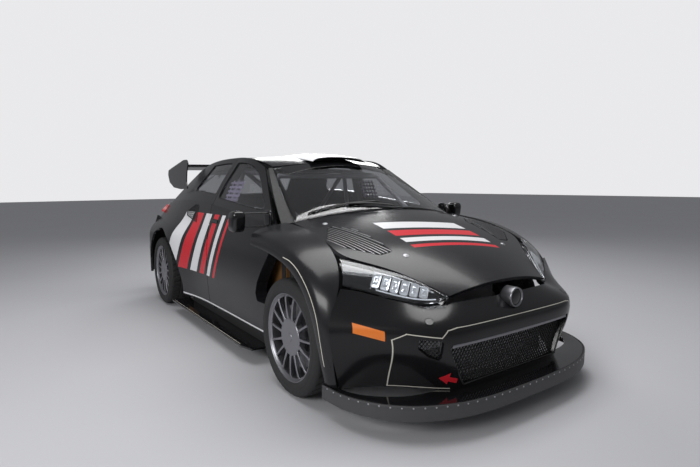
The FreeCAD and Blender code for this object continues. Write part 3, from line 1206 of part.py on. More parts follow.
def hub(name):
    """The hub face, the hat and the brake disc, turned in one piece."""
    body = doc.addObject("PartDesign::Body", name)
    face = -(s.rim_half_width - s.spoke_recess)
    back = face + s.hub_depth + s.spoke_depth
    disc = face + s.disc_recess
    outline = [(0, face), (s.hub_radius, face), (s.hub_radius, back), (s.hat_radius, back),
               (s.hat_radius, disc), (s.disc_radius, disc), (s.disc_radius, disc + s.disc_skin),
               (0, disc + s.disc_skin)]
    turned(body, name + "_turn", outline_sketch(body, name + "_profile", "XY_Plane", outline))
    return body


for end, x in (("front", front_x), ("rear", rear_x)):
    for word, side in SIDES:
        tail = end + "_" + word
        turn = Rotation(AXIS_Z, 0 if side < 0 else 180)
        tyre_body = tyre("tyre_" + tail)
        rim_whole = fuse("rim_whole_" + tail, [rim("rim_body_" + tail), hub("hub_body_" + tail)])
        for name, made in (("tyre_" + tail, tyre_body), ("rim_" + tail, rim_whole)):
            made.Placement = Placement(ORIGIN, turn)
            place(made, x, side * wheel_y, s.tyre_radius)
            keep(name, made)

doc.recompute()

# Checks and files

faults = [part.Name for part in doc.Objects
          if {"Invalid", "Error"} & set(part.State)]
for name, made in nodes.items():
    if made.Shape.isNull() or not made.Shape.isValid() or not made.Shape.Solids:
        faults.append(name)
if faults:
    raise RuntimeError("failed: " + ", ".join(faults))
os.makedirs("parts", exist_ok=True)
for name, made in nodes.items():
    made.Shape.exportStep(os.path.join("parts", name + ".step"))
    box_of = made.Shape.BoundBox
    print(name, len(made.Shape.Solids), round(made.Shape.Volume / 1e6, 2),
          [round(v) for v in (box_of.XMin, box_of.XMax, box_of.YMin, box_of.YMax, box_of.ZMin,
                              box_of.ZMax)])
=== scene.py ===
"""Dress of the rally car: smooth body skins, wheels, glass, lamps, cabin, finishes and studio."""
import logging
import math
from dataclasses import dataclass, replace
from enum import Enum
from typing import Callable, Iterable, Sequence

import bpy
import numpy as np
from mathutils import Matrix


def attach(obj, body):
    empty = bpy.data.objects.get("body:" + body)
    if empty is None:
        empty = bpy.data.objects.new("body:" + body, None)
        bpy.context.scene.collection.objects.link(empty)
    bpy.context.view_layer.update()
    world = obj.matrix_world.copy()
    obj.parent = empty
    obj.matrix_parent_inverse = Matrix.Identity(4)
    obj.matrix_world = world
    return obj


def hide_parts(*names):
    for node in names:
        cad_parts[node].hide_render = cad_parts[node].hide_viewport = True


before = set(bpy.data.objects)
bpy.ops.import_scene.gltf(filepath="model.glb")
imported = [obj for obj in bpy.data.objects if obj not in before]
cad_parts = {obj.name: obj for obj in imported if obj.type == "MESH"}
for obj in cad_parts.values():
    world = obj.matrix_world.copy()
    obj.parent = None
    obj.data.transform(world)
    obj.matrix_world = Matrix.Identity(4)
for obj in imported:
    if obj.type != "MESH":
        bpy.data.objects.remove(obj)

log = logging.getLogger("rally_car")
Array = np.ndarray
Field = Callable[[Array], Array]
Pair = tuple[float, float]
Spot = tuple[float, float, float]
Row = tuple[float, ...]
Pairs = tuple[Pair, ...]


# The car's frame

FRONT_AXLE = 1.1825
WHEELBASE = 2.630
REAR_AXLE = FRONT_AXLE - WHEELBASE
HALF_WIDTH = 0.9375
ROOF_HEIGHT = 1.400
WHEEL_Y = 0.7975
TYRE_RADIUS = 0.325
SHUT_GAP = 0.005
# Where a full-width net has its columns, in shares of the half width
CROSS_WAYS = (-1.0, -0.72, -0.38, 0.0, 0.38, 0.72, 1.0)


class Side(Enum):
    """The two flanks of the car."""

    RIGHT = ("right", -1)
    LEFT = ("left", 1)

    @property
    def word(self) -> str:
        """The flank's name, as the nodes use it."""
        return self.value[0]

    @property
    def sign(self) -> int:
        """The sign of Y on this flank."""
        return self.value[1]


class Axle(Enum):
    """The two axles of the car."""

    FRONT = ("front", FRONT_AXLE)
    REAR = ("rear", REAR_AXLE)

    @property
    def word(self) -> str:
        """The axle's name, as the nodes use it."""
        return self.value[0]

    @property
    def x(self) -> float:
        """How far forward it lies."""
        return self.value[1]


def places(shares: Sequence, sign: int = 1) -> Array:
    """Places in metres from shares of the wheelbase, half width and roof height.

    Args:
        shares: rows of (x, y, z) shares, counted from the front axle, centre plane and floor.
        sign: the flank, which turns Y.

    Returns:
        The places, in an array of the same layout.
    """
    table = np.asarray(shares, float)
    scale = np.array([WHEELBASE, sign * HALF_WIDTH, ROOF_HEIGHT])
    return table * scale + np.array([FRONT_AXLE, 0.0, 0.0])


def side_places(shares: Sequence) -> Array:
    """Places seen from the side, from shares of the wheelbase and the roof height."""
    return np.array(shares) * [WHEELBASE, ROOF_HEIGHT] + [FRONT_AXLE, 0]


def top_places(shares: Sequence, sign: int = 1) -> Array:
    """Places seen from above, from shares of the wheelbase and the half width."""
    return np.array(shares) * [WHEELBASE, sign * HALF_WIDTH] + [FRONT_AXLE, 0]


def front_places(shares: Sequence, sign: int = 1) -> Array:
    """Places seen from the front, from shares of the half width and the roof height."""
    return np.array(shares) * [HALF_WIDTH * sign, ROOF_HEIGHT]


def from_axle(spots: Sequence) -> Array:
    """Flat places in metres, whose first number is counted from the front axle."""
    return np.array(spots, float) + [FRONT_AXLE, 0]


def flank(rows_shares: Sequence, sign: int) -> Array:
    """A flank's control net from rows of front x, rear x, half widths and heights."""
    net = []
    for x_front, x_back, halves, heights in rows_shares:
        count = len(halves)
        xs = np.linspace(x_front, x_back, count)
        zs = np.full(count, heights) if np.isscalar(heights) else np.array(heights)
        net.append(np.stack([xs, np.array(halves), zs], axis=1))
    return places(np.array(net), sign)


def crossing(rows_shares: Sequence, side_power: float = 2.2, bow_power: float = 2.0) -> Array:
    """A full-width net from rows of middle x, edge x, half width, middle z and edge z.

    The middle turns into the edge with the power of the share of the half width.
    """
    ways = np.array(CROSS_WAYS)
    way = np.abs(ways)
    net = [np.stack([x_mid + (x_edge - x_mid) * way ** bow_power, half * ways,
                     z_mid + (z_edge - z_mid) * way ** side_power], axis=1)
           for x_mid, x_edge, half, z_mid, z_edge in rows_shares]
    return places(np.array(net))


def mirrored(rows_shares: Sequence) -> Array:
    """A full-width net from the half that is written place by place, middle first."""
    half = places(rows_shares)
    other = half[:, :0:-1] * np.array([1.0, -1.0, 1.0])
    return np.concatenate([other, half], axis=1)


def trimmed(net: Array, gap: float = SHUT_GAP / 2) -> Array:
    """The net with its border drawn back along its own lines, which leaves the shut gap."""
    def step(start: Array, toward: Array) -> Array:
        """Places one gap further on, towards others."""
        way = toward - start
        return start + way / np.linalg.norm(way, axis=-1, keepdims=True) * gap
    made = net.copy()
    made[:, 0] = step(net[:, 0], net[:, 1])
    made[:, -1] = step(net[:, -1], net[:, -2])
    top, low = made[0].copy(), made[-1].copy()
    made[0] = step(top, top + net[1] - net[0])
    made[-1] = step(low, low + net[-2] - net[-1])
    return made


# Surfaces

# How a place walks to a line of cut: its steps, its probe and longest step in cells, and
# the share of a face's side next to the line from which places are walked
WALK_STEPS = 8
WALK_PROBE = 0.02
WALK_MOST = 0.7
WALK_BORDER = 0.3


def basis(count: int, share: Array) -> Array:
    """B-spline weights of each control point, on even knots clamped at both ends.

    The Cox and de Boor rule: a weight of one degree is the blend of its two neighbours of the
    degree below, by how far the place is along each one's knots.

    Args:
        count: how many control points there are.
        share: places from 0 to 1.

    Returns:
        One row of weights for each place.
    """
    degree = min(3, count - 1)
    spans = count - degree
    knots = np.concatenate([np.zeros(degree), np.arange(spans + 1), np.full(degree, spans)])
    place = np.clip(share, 0, 1) * spans
    cell = np.minimum(np.floor(place), spans - 1) + degree
    weights = (np.arange(len(knots) - 1)[None, :] == cell[:, None]).astype(float)
    for d in range(1, degree + 1):
        k = len(knots) - 1 - d
        low_width = knots[d:d + k] - knots[:k]
        high_width = knots[d + 1:d + 1 + k] - knots[1:1 + k]
        low = np.divide(place[:, None] - knots[:k], low_width,
                        out=np.zeros((len(place), k)), where=low_width > 0)
        high = np.divide(knots[d + 1:d + 1 + k] - place[:, None], high_width,
                         out=np.zeros((len(place), k)), where=high_width > 0)
        weights = low * weights[:, :k] + high * weights[:, 1:k + 1]
    return weights


@dataclass
class Skin:
    """A smooth surface with a control net."""

    net: Array

    def at(self, u: Array, v: Array) -> Array:
        """Places for pairs of shares: row weights times net times column weights."""
        rows, cols = basis(self.net.shape[0], u), basis(self.net.shape[1], v)
        return np.einsum("ni,nj,ijk->nk", rows, cols, self.net, optimize=True)

    def out(self, u: Array, v: Array, inside: Array) -> Array:
        """Unit normals that point away from an inner place, from two small steps."""
        step = 1e-3
        u_low, u_high = np.clip(u - step, 0, 1), np.clip(u + step, 0, 1)
        v_low, v_high = np.clip(v - step, 0, 1), np.clip(v + step, 0, 1)
        across = np.cross(self.at(u_high, v) - self.at(u_low, v),
                          self.at(u, v_high) - self.at(u, v_low))
        across /= np.linalg.norm(across, axis=1, keepdims=True)
        toward = np.einsum("ij,ij->i", across, self.at(u, v) - inside)
        return across * np.sign(toward)[:, None]

    def cells(self, pitch: float) -> tuple[int, int]:
        """How many rows and columns of faces give faces of about that size."""
        rows = np.linalg.norm(np.diff(self.net, axis=0), axis=2).sum(axis=0).max()
        cols = np.linalg.norm(np.diff(self.net, axis=1), axis=2).sum(axis=1).max()
        return max(2, round(rows / pitch)), max(2, round(cols / pitch))


def quads(rows: int, cols: int, wrap_rows: bool = False, wrap_cols: bool = False) -> Array:
    """Corner numbers of the faces of a grid of places, row by row."""
    i = np.arange(rows if wrap_rows else rows - 1)
    j = np.arange(cols if wrap_cols else cols - 1)
    i, j = np.meshgrid(i, j, indexing="ij")
    i_next, j_next = (i + 1) % rows, (j + 1) % cols
    faces = np.stack([i * cols + j, i_next * cols + j, i_next * cols + j_next, i * cols + j_next],
                     axis=-1)
    return faces.reshape(-1, 4)


def cut_sheet(skin: Skin, pitch: float, field: Field | None, inside: Array,
              depth: float = 0.0) -> tuple[Array, Array]:
    """A sheet of faces over a skin, cut along the zero line of a field.

    Places on the wrong side of the line are walked onto it, each by its field value over the
    field's slope, so that the cut edge is as smooth as the line.

    Args:
        skin: the surface.
        pitch: about how long a face's side is.
        field: positive where the sheet stays; none keeps it all.
        inside: a place on the inner side.
        depth: how far the sheet lies under the skin.

    Returns:
        The places and the faces, which point outwards.
    """
    rows, cols = skin.cells(pitch)
    u, v = np.meshgrid(np.linspace(0, 1, rows + 1), np.linspace(0, 1, cols + 1), indexing="ij")
    u, v = u.ravel(), v.ravel()
    faces = quads(rows + 1, cols + 1)
    if field is not None:
        value = field(skin.at(u, v))
        inner = value > pitch * WALK_BORDER
        faces = faces[inner[faces].any(axis=1)]
        used = np.zeros(len(u), bool)
        used[faces] = True
        walk = np.flatnonzero(used & ~inner)
        du, dv = 1.0 / rows, 1.0 / cols
        for _ in range(WALK_STEPS):
            here = field(skin.at(u[walk], v[walk]))
            slope_u = field(skin.at(u[walk] + du * WALK_PROBE, v[walk])) - here
            slope_v = field(skin.at(u[walk], v[walk] + dv * WALK_PROBE)) - here
            size = slope_u ** 2 + slope_v ** 2 + 1e-14
            u[walk] -= np.clip(WALK_PROBE * here * slope_u / size, -WALK_MOST, WALK_MOST) * du
            v[walk] -= np.clip(WALK_PROBE * here * slope_v / size, -WALK_MOST, WALK_MOST) * dv
            u, v = np.clip(u, 0, 1), np.clip(v, 0, 1)
        numbers = np.cumsum(used) - 1
        faces = numbers[faces]
        u, v = u[used], v[used]
    spots = skin.at(u, v)
    out = skin.out(u, v, inside)
    if depth:
        spots = spots - out * depth
    corners = spots[faces]
    face_out = np.cross(corners[:, 2] - corners[:, 0], corners[:, 3] - corners[:, 1])
    wrong = np.einsum("ij,ij->i", face_out, out[faces[:, 0]]) < 0
    faces[wrong] = faces[wrong][:, ::-1]
    return spots, faces


# Lines of cut

def inset(points: Array, distance: float) -> Array:
    """A closed flat outline drawn inwards by a distance, corners mitred."""
    before = points - np.roll(points, 1, axis=0)
    after = np.roll(before, -1, axis=0)
    area = np.sum(points[:, 0] * np.roll(points[:, 1], -1) -
                  np.roll(points[:, 0], -1) * points[:, 1])
    turn = np.array([[0, 1], [-1, 0]]) * np.sign(area)
    one = before / np.linalg.norm(before, axis=1, keepdims=True) @ turn
    two = after / np.linalg.norm(after, axis=1, keepdims=True) @ turn
    toward = one + two
    toward /= np.linalg.norm(toward, axis=1, keepdims=True)
    reach = distance / np.einsum("ij,ij->i", toward, one)
    return points + toward * reach[:, None]


def outline_distance(outline: Array, spots: Array) -> Array:
    """How far flat places lie from a closed outline, negative inside it."""
    start = outline
    way = np.roll(outline, -1, axis=0) - outline
    off = spots[:, None] - start[None]
    along = np.clip(np.einsum("nek,ek->ne", off, way) / np.einsum("ek,ek->e", way, way), 0, 1)
    near = np.linalg.norm(off - way[None] * along[..., None], axis=2).min(axis=1)
    x, y = spots[:, None, 0], spots[:, None, 1]
    x0, y0 = start[None, :, 0], start[None, :, 1]
    x1, y1 = x0 + way[None, :, 0], y0 + way[None, :, 1]
    rise = np.where(y1 == y0, 1e-12, y1 - y0)
    crosses = ((y0 > y) != (y1 > y)) & (x < (x1 - x0) * (y - y0) / rise + x0)
    within = crosses.sum(axis=1) % 2 == 1
    return np.where(within, -near, near)


def opening(outline: Array, axes: tuple[int, int], corner: float, keep_inside: bool = False,
            margin: float = 0.0) -> Field:
    """A field that is zero on an outline with round corners, seen along one axis.

    Args:
        outline: the corners, two numbers each.
        axes: which two coordinates the outline is drawn in.
        corner: the radius of the corners.
        keep_inside: whether the sheet stays inside the outline, as glass does.
        margin: how far the line is drawn in.
    """
    core = inset(outline, corner + margin)

    def field(spots: Array) -> Array:
        """How far places lie outside the outline, or inside it for glass."""
        value = outline_distance(core, spots[:, list(axes)]) - corner
        return -value if keep_inside else value
    return field


def both(*fields: Field) -> Field:
    """A field that keeps only what all its fields keep."""
    return lambda spots: np.minimum.reduce([field(spots) for field in fields])


# Meshes

# How strongly large faces turn the shading of their corners
FACE_WEIGHT = 60
# A way that the axis of no turned piece has
OFF_AXIS = (0.3, 0.2, 0.9)


def mesh_object(name: str, spots: Array, faces: Iterable, smooth: bool = True) -> bpy.types.Object:
    """A new object at the origin from places and faces."""
    mesh = bpy.data.meshes.new(name)
    listed = faces.tolist() if isinstance(faces, np.ndarray) else list(faces)
    mesh.from_pydata(np.asarray(spots, float).reshape(-1, 3).tolist(), [], listed)
    mesh.polygons.foreach_set("use_smooth", np.full(len(mesh.polygons), smooth))
    mesh.update()
    made = bpy.data.objects.new(name, mesh)
    bpy.context.scene.collection.objects.link(made)
    return made


def paint(made: bpy.types.Object, *finishes: "Finish") -> None:
    """Give an object its finishes, one material slot each."""
    if made.data.materials:
        made.data.materials.clear()
    for finish in finishes:
        made.data.materials.append(finish.material())


def thicken(made: bpy.types.Object, depth: float, edge: float = 0.002, inner: int = 0,
            segments: int = 2) -> None:
    """Give a sheet its wall, going inwards, and round its edges.

    Args:
        made: the sheet, whose faces point outwards.
        depth: the wall.
        edge: the radius of the edges.
        inner: how many slots further on the inner face's finish is.
        segments: how many faces go round an edge.
    """
    wall = made.modifiers.new("wall", "SOLIDIFY")
    wall.thickness = depth
    wall.offset = -1
    wall.use_even_offset = True
    wall.material_offset = inner
    soften(made, edge, segments)


def soften(made: bpy.types.Object, edge: float, segments: int = 2, angle: float = 40) -> None:
    """Round an object's edges and keep its flat faces flat."""
    if edge:
        bevel = made.modifiers.new("edge", "BEVEL")
        bevel.width = edge
        bevel.segments = segments
        bevel.limit_method = "ANGLE"
        bevel.angle_limit = math.radians(angle)
        bevel.use_clamp_overlap = True
    normal = made.modifiers.new("shade", "WEIGHTED_NORMAL")
    normal.weight = FACE_WEIGHT


@dataclass
class Bundle:
    """Several grids and solids gathered into one mesh, each with its finish's slot."""

    def __post_init__(self) -> None:
        """Nothing is gathered yet."""
        self.spots: list[Array] = []
        self.faces: list[list] = []
        self.slots: list[int] = []
        self.count = 0

    def add(self, spots: Array, faces: Iterable, slot: int = 0) -> None:
        """Put places and faces in."""
        flat = np.asarray(spots, float).reshape(-1, 3)
        moved = [[corner + self.count for corner in face] for face in
                 (faces.tolist() if isinstance(faces, np.ndarray) else faces)]
        self.spots.append(flat)
        self.faces.extend(moved)
        self.slots.extend([slot] * len(moved))
        self.count += len(flat)

    def grid(self, spots: Array, wrap_rows: bool = False, wrap_cols: bool = False,
             slot: int = 0, flip: bool = False) -> None:
        """Put a grid of places in."""
        faces = quads(spots.shape[0], spots.shape[1], wrap_rows, wrap_cols)
        self.add(spots, faces[:, ::-1] if flip else faces, slot)

    def solid(self, spots: Array, faces: list, slot: int = 0) -> None:
        """Put in a closed solid, turned outwards by the sign of its volume."""
        flat = np.asarray(spots, float).reshape(-1, 3)
        fans = np.array([(face[0], face[k], face[k + 1]) for face in faces
                         for k in range(1, len(face) - 1)])
        a, b, c = (flat - flat.mean(axis=0))[fans].transpose(1, 0, 2)
        if np.einsum("ij,ij->", a, np.cross(b, c)) < 0:
            faces = [list(face)[::-1] for face in faces]
        self.add(flat, faces, slot)

    def bar(self, grid: Array, slot: int = 0) -> None:
        """Put in sections that follow one another, with both ends closed."""
        rows, cols = grid.shape[:2]
        last = (rows - 1) * cols
        faces = quads(rows, cols, wrap_cols=True).tolist()
        self.solid(grid, faces + [list(range(cols)), list(range(last + cols - 1, last - 1, -1))],
                   slot)

    def tube(self, path: Array, radius: float, count: int = 14, slot: int = 0) -> None:
        """Put in a round bar along a path."""
        self.bar(carried(path, circle(radius, count)), slot)

    def round(self, centre: Array, axis: Array, profile: Sequence, count: int = 32,
              slot: int = 0) -> None:
        """Put in a solid turned about an axis, from a profile of (radius, along the axis)."""
        axis = np.asarray(axis, float) / np.linalg.norm(axis)
        side = np.cross(axis, OFF_AXIS)
        side /= np.linalg.norm(side)
        up = np.cross(axis, side)
        turn = np.linspace(0, 2 * np.pi, count, endpoint=False)
        ring = np.cos(turn)[:, None] * side + np.sin(turn)[:, None] * up
        rows = [centre + axis * along + ring * max(radius, 1e-4) for radius, along in profile]
        self.bar(np.array(rows), slot)

    def make(self, name: str, smooth: bool = True) -> bpy.types.Object:
        """The object."""
        made = mesh_object(name, np.concatenate(self.spots), self.faces, smooth)
        made.data.polygons.foreach_set("material_index", np.array(self.slots, np.int32))
        return made


def turned_profile(profile: Array, segments: int, centre: Sequence[float],
                   sign: int = 1) -> Array:
    """A grid from a profile of (radius, along Y) carried round the Y axis.

    Each row is the profile turned by one step: x and z are the radius times the turn's cosine
    and sine.
    """
    turn = np.linspace(0, 2 * np.pi, segments, endpoint=False)[:, None]
    radius, along = profile[None, :, 0], profile[None, :, 1]
    return np.stack([radius * np.cos(turn), np.broadcast_to(along, (segments, len(profile))) *
                     sign, radius * np.sin(turn)], axis=2) + np.array(centre)


def carried(path: Array, section: Array, closed: bool = False) -> Array:
    """A grid from a flat section carried along a path without twist.

    Each step turns the last side vector onto the plane square to the path's new direction.
    """
    path = np.asarray(path, float)
    if closed:
        ways = np.roll(path, -1, axis=0) - np.roll(path, 1, axis=0)
    else:
        ways = np.gradient(path, axis=0)
    ways /= np.linalg.norm(ways, axis=1, keepdims=True)
    side = np.cross(ways[0], [0, 0, 1.0])
    if np.linalg.norm(side) < 1e-3:
        side = np.cross(ways[0], [0, 1.0, 0])
    sides = []
    for way in ways:
        side = side - way * np.dot(side, way)
        side = side / np.linalg.norm(side)
        sides.append(side)
    sides = np.array(sides)
    ups = np.cross(sides, ways)
    return (path[:, None] + sides[:, None] * section[None, :, :1]
            + ups[:, None] * section[None, :, 1:])


def circle(radius: float, count: int = 16) -> Array:
    """A round section."""
    turn = np.linspace(0, 2 * np.pi, count, endpoint=False)
    return np.stack([radius * np.cos(turn), radius * np.sin(turn)], axis=1)


def through(points: Sequence, steps: int = 8, closed: bool = False) -> Array:
    """A smooth run through the points, by the Catmull-Rom rule.

    Between two points the run is the cubic whose end slopes are half the way from the point
    before to the point after.
    """
    points = np.asarray(points, float)
    if closed:
        ring = np.concatenate([points[-1:], points, points[:2]])
    else:
        ring = np.concatenate([2 * points[:1] - points[1:2], points,
                               2 * points[-1:] - points[-2:-1]])
    t = np.linspace(0, 1, steps, endpoint=False)[:, None]
    made = [0.5 * (2 * b + (c - a) * t + (2 * a - 5 * b + 4 * c - d) * t ** 2
                   + (3 * b - a - 3 * c + d) * t ** 3)
            for a, b, c, d in zip(ring, ring[1:], ring[2:], ring[3:])]
    return np.concatenate(made if closed else made + [ring[-2:-1]])


def chords(outline: Array, angle: float, pitch: float) -> list[tuple[Array, Array]]:
    """Parallel lines across a flat convex outline.

    Args:
        outline: the corners, in the flat plan.
        angle: of the lines, from the first axis, in degrees.
        pitch: from line to line.

    Returns:
        The two ends of each line, where it crosses two of the outline's edges.
    """
    way = np.array([math.cos(math.radians(angle)), math.sin(math.radians(angle))])
    across = np.array([-way[1], way[0]])
    reach = outline @ across
    made = []
    for offset in np.arange(reach.min() + pitch / 2, reach.max(), pitch):
        ends = []
        for start, end in zip(outline, np.roll(outline, -1, axis=0)):
            first, last = start @ across - offset, end @ across - offset
            if (first > 0) != (last > 0):
                ends.append(start + (end - start) * first / (first - last))
        if len(ends) == 2 and np.linalg.norm(ends[1] - ends[0]) > pitch * 0.6:
            made.append((ends[0], ends[1]))
    return made


def lattice(bundle: Bundle, outline: Array, pitch: float, width: float, depth: float,
            place: Callable[[Array], Array], angle: float = 56.0, slot: int = 0) -> None:
    """Put crossing bars that fill a flat convex outline into a bundle.

    Args:
        bundle: where they go.
        outline: the corners, in the flat plan.
        pitch: from bar to bar.
        width: of a bar.
        depth: of a bar, backwards.
        place: turns plan places into places in the car.
        angle: of the bars, from level.
        slot: the finish.
    """
    for lean in (-angle, angle):
        for start, end in chords(outline, lean, pitch):
            way = (end - start) / np.linalg.norm(end - start)
            across = np.array([-way[1], way[0]]) * width / 2
            line = start + (end - start) * np.linspace(0, 1, 5)[:, None]
            rim = [place(line - across), place(line + across)]
            back = [spots - [depth, 0, 0] for spots in rim]
            bundle.bar(np.stack([rim[0], rim[1], back[1], back[0]], axis=1), slot)


@dataclass
class Draped:
    """A skin that small pieces are laid on, found by two of its three coordinates."""

    skin: Skin
    inside: Array
    axes: tuple[int, int] = (0, 2)

    def __post_init__(self) -> None:
        """Places of a fine net of shares, to search."""
        share = np.linspace(0, 1, 181)
        self.u, self.v = (grid.ravel() for grid in np.meshgrid(share, share, indexing="ij"))
        self.spots = self.skin.at(self.u, self.v)[:, list(self.axes)]

    def shares(self, targets: Array) -> tuple[Array, Array]:
        """The shares of the skin's places nearest to flat places, then drawn closer.

        Each of four Newton-like steps divides what is left by the slope of the skin.
        """
        targets = np.atleast_2d(targets)
        near = [int(np.argmin(((self.spots - target) ** 2).sum(axis=1))) for target in targets]
        u, v = self.u[near].copy(), self.v[near].copy()
        step, axes = 1e-3, list(self.axes)
        for _ in range(4):
            here = self.skin.at(u, v)[:, axes]
            du = (self.skin.at(np.clip(u + step, 0, 1), v)[:, axes] - here) / step
            dv = (self.skin.at(u, np.clip(v + step, 0, 1))[:, axes] - here) / step
            rest = targets - here
            area = du[:, 0] * dv[:, 1] - du[:, 1] * dv[:, 0]
            area = np.where(np.abs(area) < 1e-9, 1e9, area)
            u = np.clip(u + (rest[:, 0] * dv[:, 1] - rest[:, 1] * dv[:, 0]) / area, 0, 1)
            v = np.clip(v + (du[:, 0] * rest[:, 1] - du[:, 1] * rest[:, 0]) / area, 0, 1)
        return u, v

    def at(self, targets: Array) -> tuple[Array, Array]:
        """Places on the skin and the ways out of it."""
        u, v = self.shares(targets)
        return self.skin.at(u, v), self.skin.out(u, v, self.inside)

    def ribbon(self, bundle: Bundle, targets: Array, width: float, low: float, high: float,
               slot: int = 0, steps: int = 24) -> None:
        """A flat strip that follows the skin, from one height over it to another."""
        targets = np.atleast_2d(targets)
        run = np.concatenate([[0], np.cumsum(np.linalg.norm(np.diff(targets, axis=0), axis=1))])
        along = np.linspace(0, run[-1], steps)
        line = np.column_stack([np.interp(along, run, targets[:, k]) for k in (0, 1)])
        spots, outs = self.at(line)
        way = np.gradient(spots, axis=0)
        across = np.cross(way, outs)
        across *= width / 2 / np.linalg.norm(across, axis=1, keepdims=True)
        rows = [spots - across + outs * low, spots + across + outs * low,
                spots + across + outs * high, spots - across + outs * high]
        bundle.bar(np.stack(rows, axis=1), slot)

    def tile(self, bundle: Bundle, corners: Array, thick: float, slot: int = 0,
             sunk: float = 0.001, steps: int = 10) -> None:
        """A thin plate with four corners, laid on the skin."""
        corners = np.asarray(corners, float)
        share = np.linspace(0, 1, steps)[:, None, None]
        other = np.linspace(0, 1, steps)[None, :, None]
        flat = ((corners[0] * (1 - share) + corners[1] * share) * (1 - other)
                + (corners[3] * (1 - share) + corners[2] * share) * other)
        spots, outs = self.at(flat.reshape(-1, 2))
        spots, outs = (grid.reshape(steps, steps, 3) for grid in (spots, outs))
        bundle.bar(np.concatenate([spots + outs * thick, (spots - outs * sunk)[:, ::-1]],
                                  axis=1), slot)


def plate(front: Array, depth: float, towards: Array) -> Array:
    """Closed sections of a curved plate: its front and, a wall behind it, its back."""
    across = np.cross(np.gradient(front, axis=0), np.gradient(front, axis=1))
    across /= np.linalg.norm(across, axis=2, keepdims=True)
    middle = tuple(size // 2 for size in front.shape[:2])
    across *= np.sign(across[middle] @ (np.asarray(towards) - front[middle]))
    return np.concatenate([front, (front - across * depth)[:, ::-1]], axis=1)


def rounded(low: Sequence[float], high: Sequence[float], power: float = 5.0, rows: int = 14,
            count: int = 32, lean: float = 0.0) -> Array:
    """Sections along Y of a box with soft edges, a superellipsoid between two corners.

    A section at the share t of the half width has the size (1 - |t|^p)^(1/p), and its outline
    is |x|^p + |z|^p = 1.
    """
    low, high = np.array(low, float), np.array(high, float)
    half, centre = (high - low) / 2, (high + low) / 2
    t = np.sin(np.linspace(-np.pi / 2, np.pi / 2, rows)) * 0.9995
    size = (1 - np.abs(t) ** power) ** (1 / power)
    turn = np.linspace(0, 2 * np.pi, count, endpoint=False)
    cos, sin = np.cos(turn), np.sin(turn)
    reach = (np.abs(cos) ** power + np.abs(sin) ** power) ** (-1 / power)
    x = size[:, None] * reach * cos * half[0] + centre[0]
    z = size[:, None] * reach * sin * half[2] + centre[2]
    y = np.repeat(t[:, None], count, axis=1) * half[1] + centre[1]
    return np.stack([x + lean * (z - centre[2]), y, z], axis=2)


# Finishes

class Nodes:
    """A small helper that adds shader nodes and joins them."""

    def __init__(self, name: str) -> None:
        """A new material with its shader joined to its output."""
        self.material = bpy.data.materials.new(name)
        self.material.use_nodes = True
        self.tree = self.material.node_tree
        self.tree.nodes.clear()
        self.output = self.tree.nodes.new("ShaderNodeOutputMaterial")
        self.shader = self.tree.nodes.new("ShaderNodeBsdfPrincipled")
        self.tree.links.new(self.shader.outputs[0], self.output.inputs[0])
        self.coordinates = self.tree.nodes.new("ShaderNodeTexCoord").outputs["Object"]

    def join(self, source: object, socket: bpy.types.NodeSocket) -> None:
        """Link a socket, or set a plain value."""
        if isinstance(source, bpy.types.NodeSocket):
            self.tree.links.new(source, socket)
        else:
            socket.default_value = source

    def math(self, kind: str, *values: object) -> bpy.types.NodeSocket:
        """A math node's result."""
        node = self.tree.nodes.new("ShaderNodeMath")
        node.operation = kind
        for value, socket in zip(values, node.inputs):
            self.join(value, socket)
        return node.outputs[0]

    def dot(self, vector: Sequence[float]) -> bpy.types.NodeSocket:
        """The place's share along a fixed vector."""
        node = self.tree.nodes.new("ShaderNodeVectorMath")
        node.operation = "DOT_PRODUCT"
        self.join(self.coordinates, node.inputs[0])
        node.inputs[1].default_value = vector
        return node.outputs["Value"]

    def noise(self, scale: float, detail: float = 2.0, stretch: Sequence[float] = (1, 1, 1),
              rough: float = 0.5) -> bpy.types.NodeSocket:
        """Noise in Object coordinates, from 0 to 1."""
        mapping = self.tree.nodes.new("ShaderNodeMapping")
        self.join(self.coordinates, mapping.inputs[0])
        mapping.inputs["Scale"].default_value = stretch
        node = self.tree.nodes.new("ShaderNodeTexNoise")
        self.join(mapping.outputs[0], node.inputs["Vector"])
        node.inputs["Scale"].default_value = scale
        node.inputs["Detail"].default_value = detail
        node.inputs["Roughness"].default_value = rough
        return node.outputs["Fac"]

    def wave(self, scale: float, way: str) -> bpy.types.NodeSocket:
        """Even ridges along one axis, from 0 to 1."""
        node = self.tree.nodes.new("ShaderNodeTexWave")
        node.bands_direction = way
        self.join(self.coordinates, node.inputs["Vector"])
        node.inputs["Scale"].default_value = scale
        return node.outputs["Fac"]

    def spread(self, value: object, low: float, high: float, start: float = 0.0,
               end: float = 1.0) -> bpy.types.NodeSocket:
        """A value spread from one range onto another, held at the ends."""
        node = self.tree.nodes.new("ShaderNodeMapRange")
        self.join(value, node.inputs["Value"])
        for name, number in (("From Min", start), ("From Max", end), ("To Min", low),
                             ("To Max", high)):
            node.inputs[name].default_value = number
        return node.outputs["Result"]

    def mix(self, share: object, first: object, second: object) -> bpy.types.NodeSocket:
        """One colour turned into another."""
        node = self.tree.nodes.new("ShaderNodeMix")
        node.data_type = "RGBA"
        self.join(share, node.inputs["Factor"])
        self.join(first, node.inputs[6])
        self.join(second, node.inputs[7])
        return node.outputs[2]

    def bump(self, height: object, strength: float, distance: float) -> None:
        """Raise the surface by a height field."""
        node = self.tree.nodes.new("ShaderNodeBump")
        node.inputs["Strength"].default_value = strength
        node.inputs["Distance"].default_value = distance
        self.join(height, node.inputs["Height"])
        self.join(node.outputs[0], self.shader.inputs["Normal"])


def rgba(colour: Sequence[float]) -> Row:
    """A colour with full cover."""
    return (*colour[:3], 1.0)


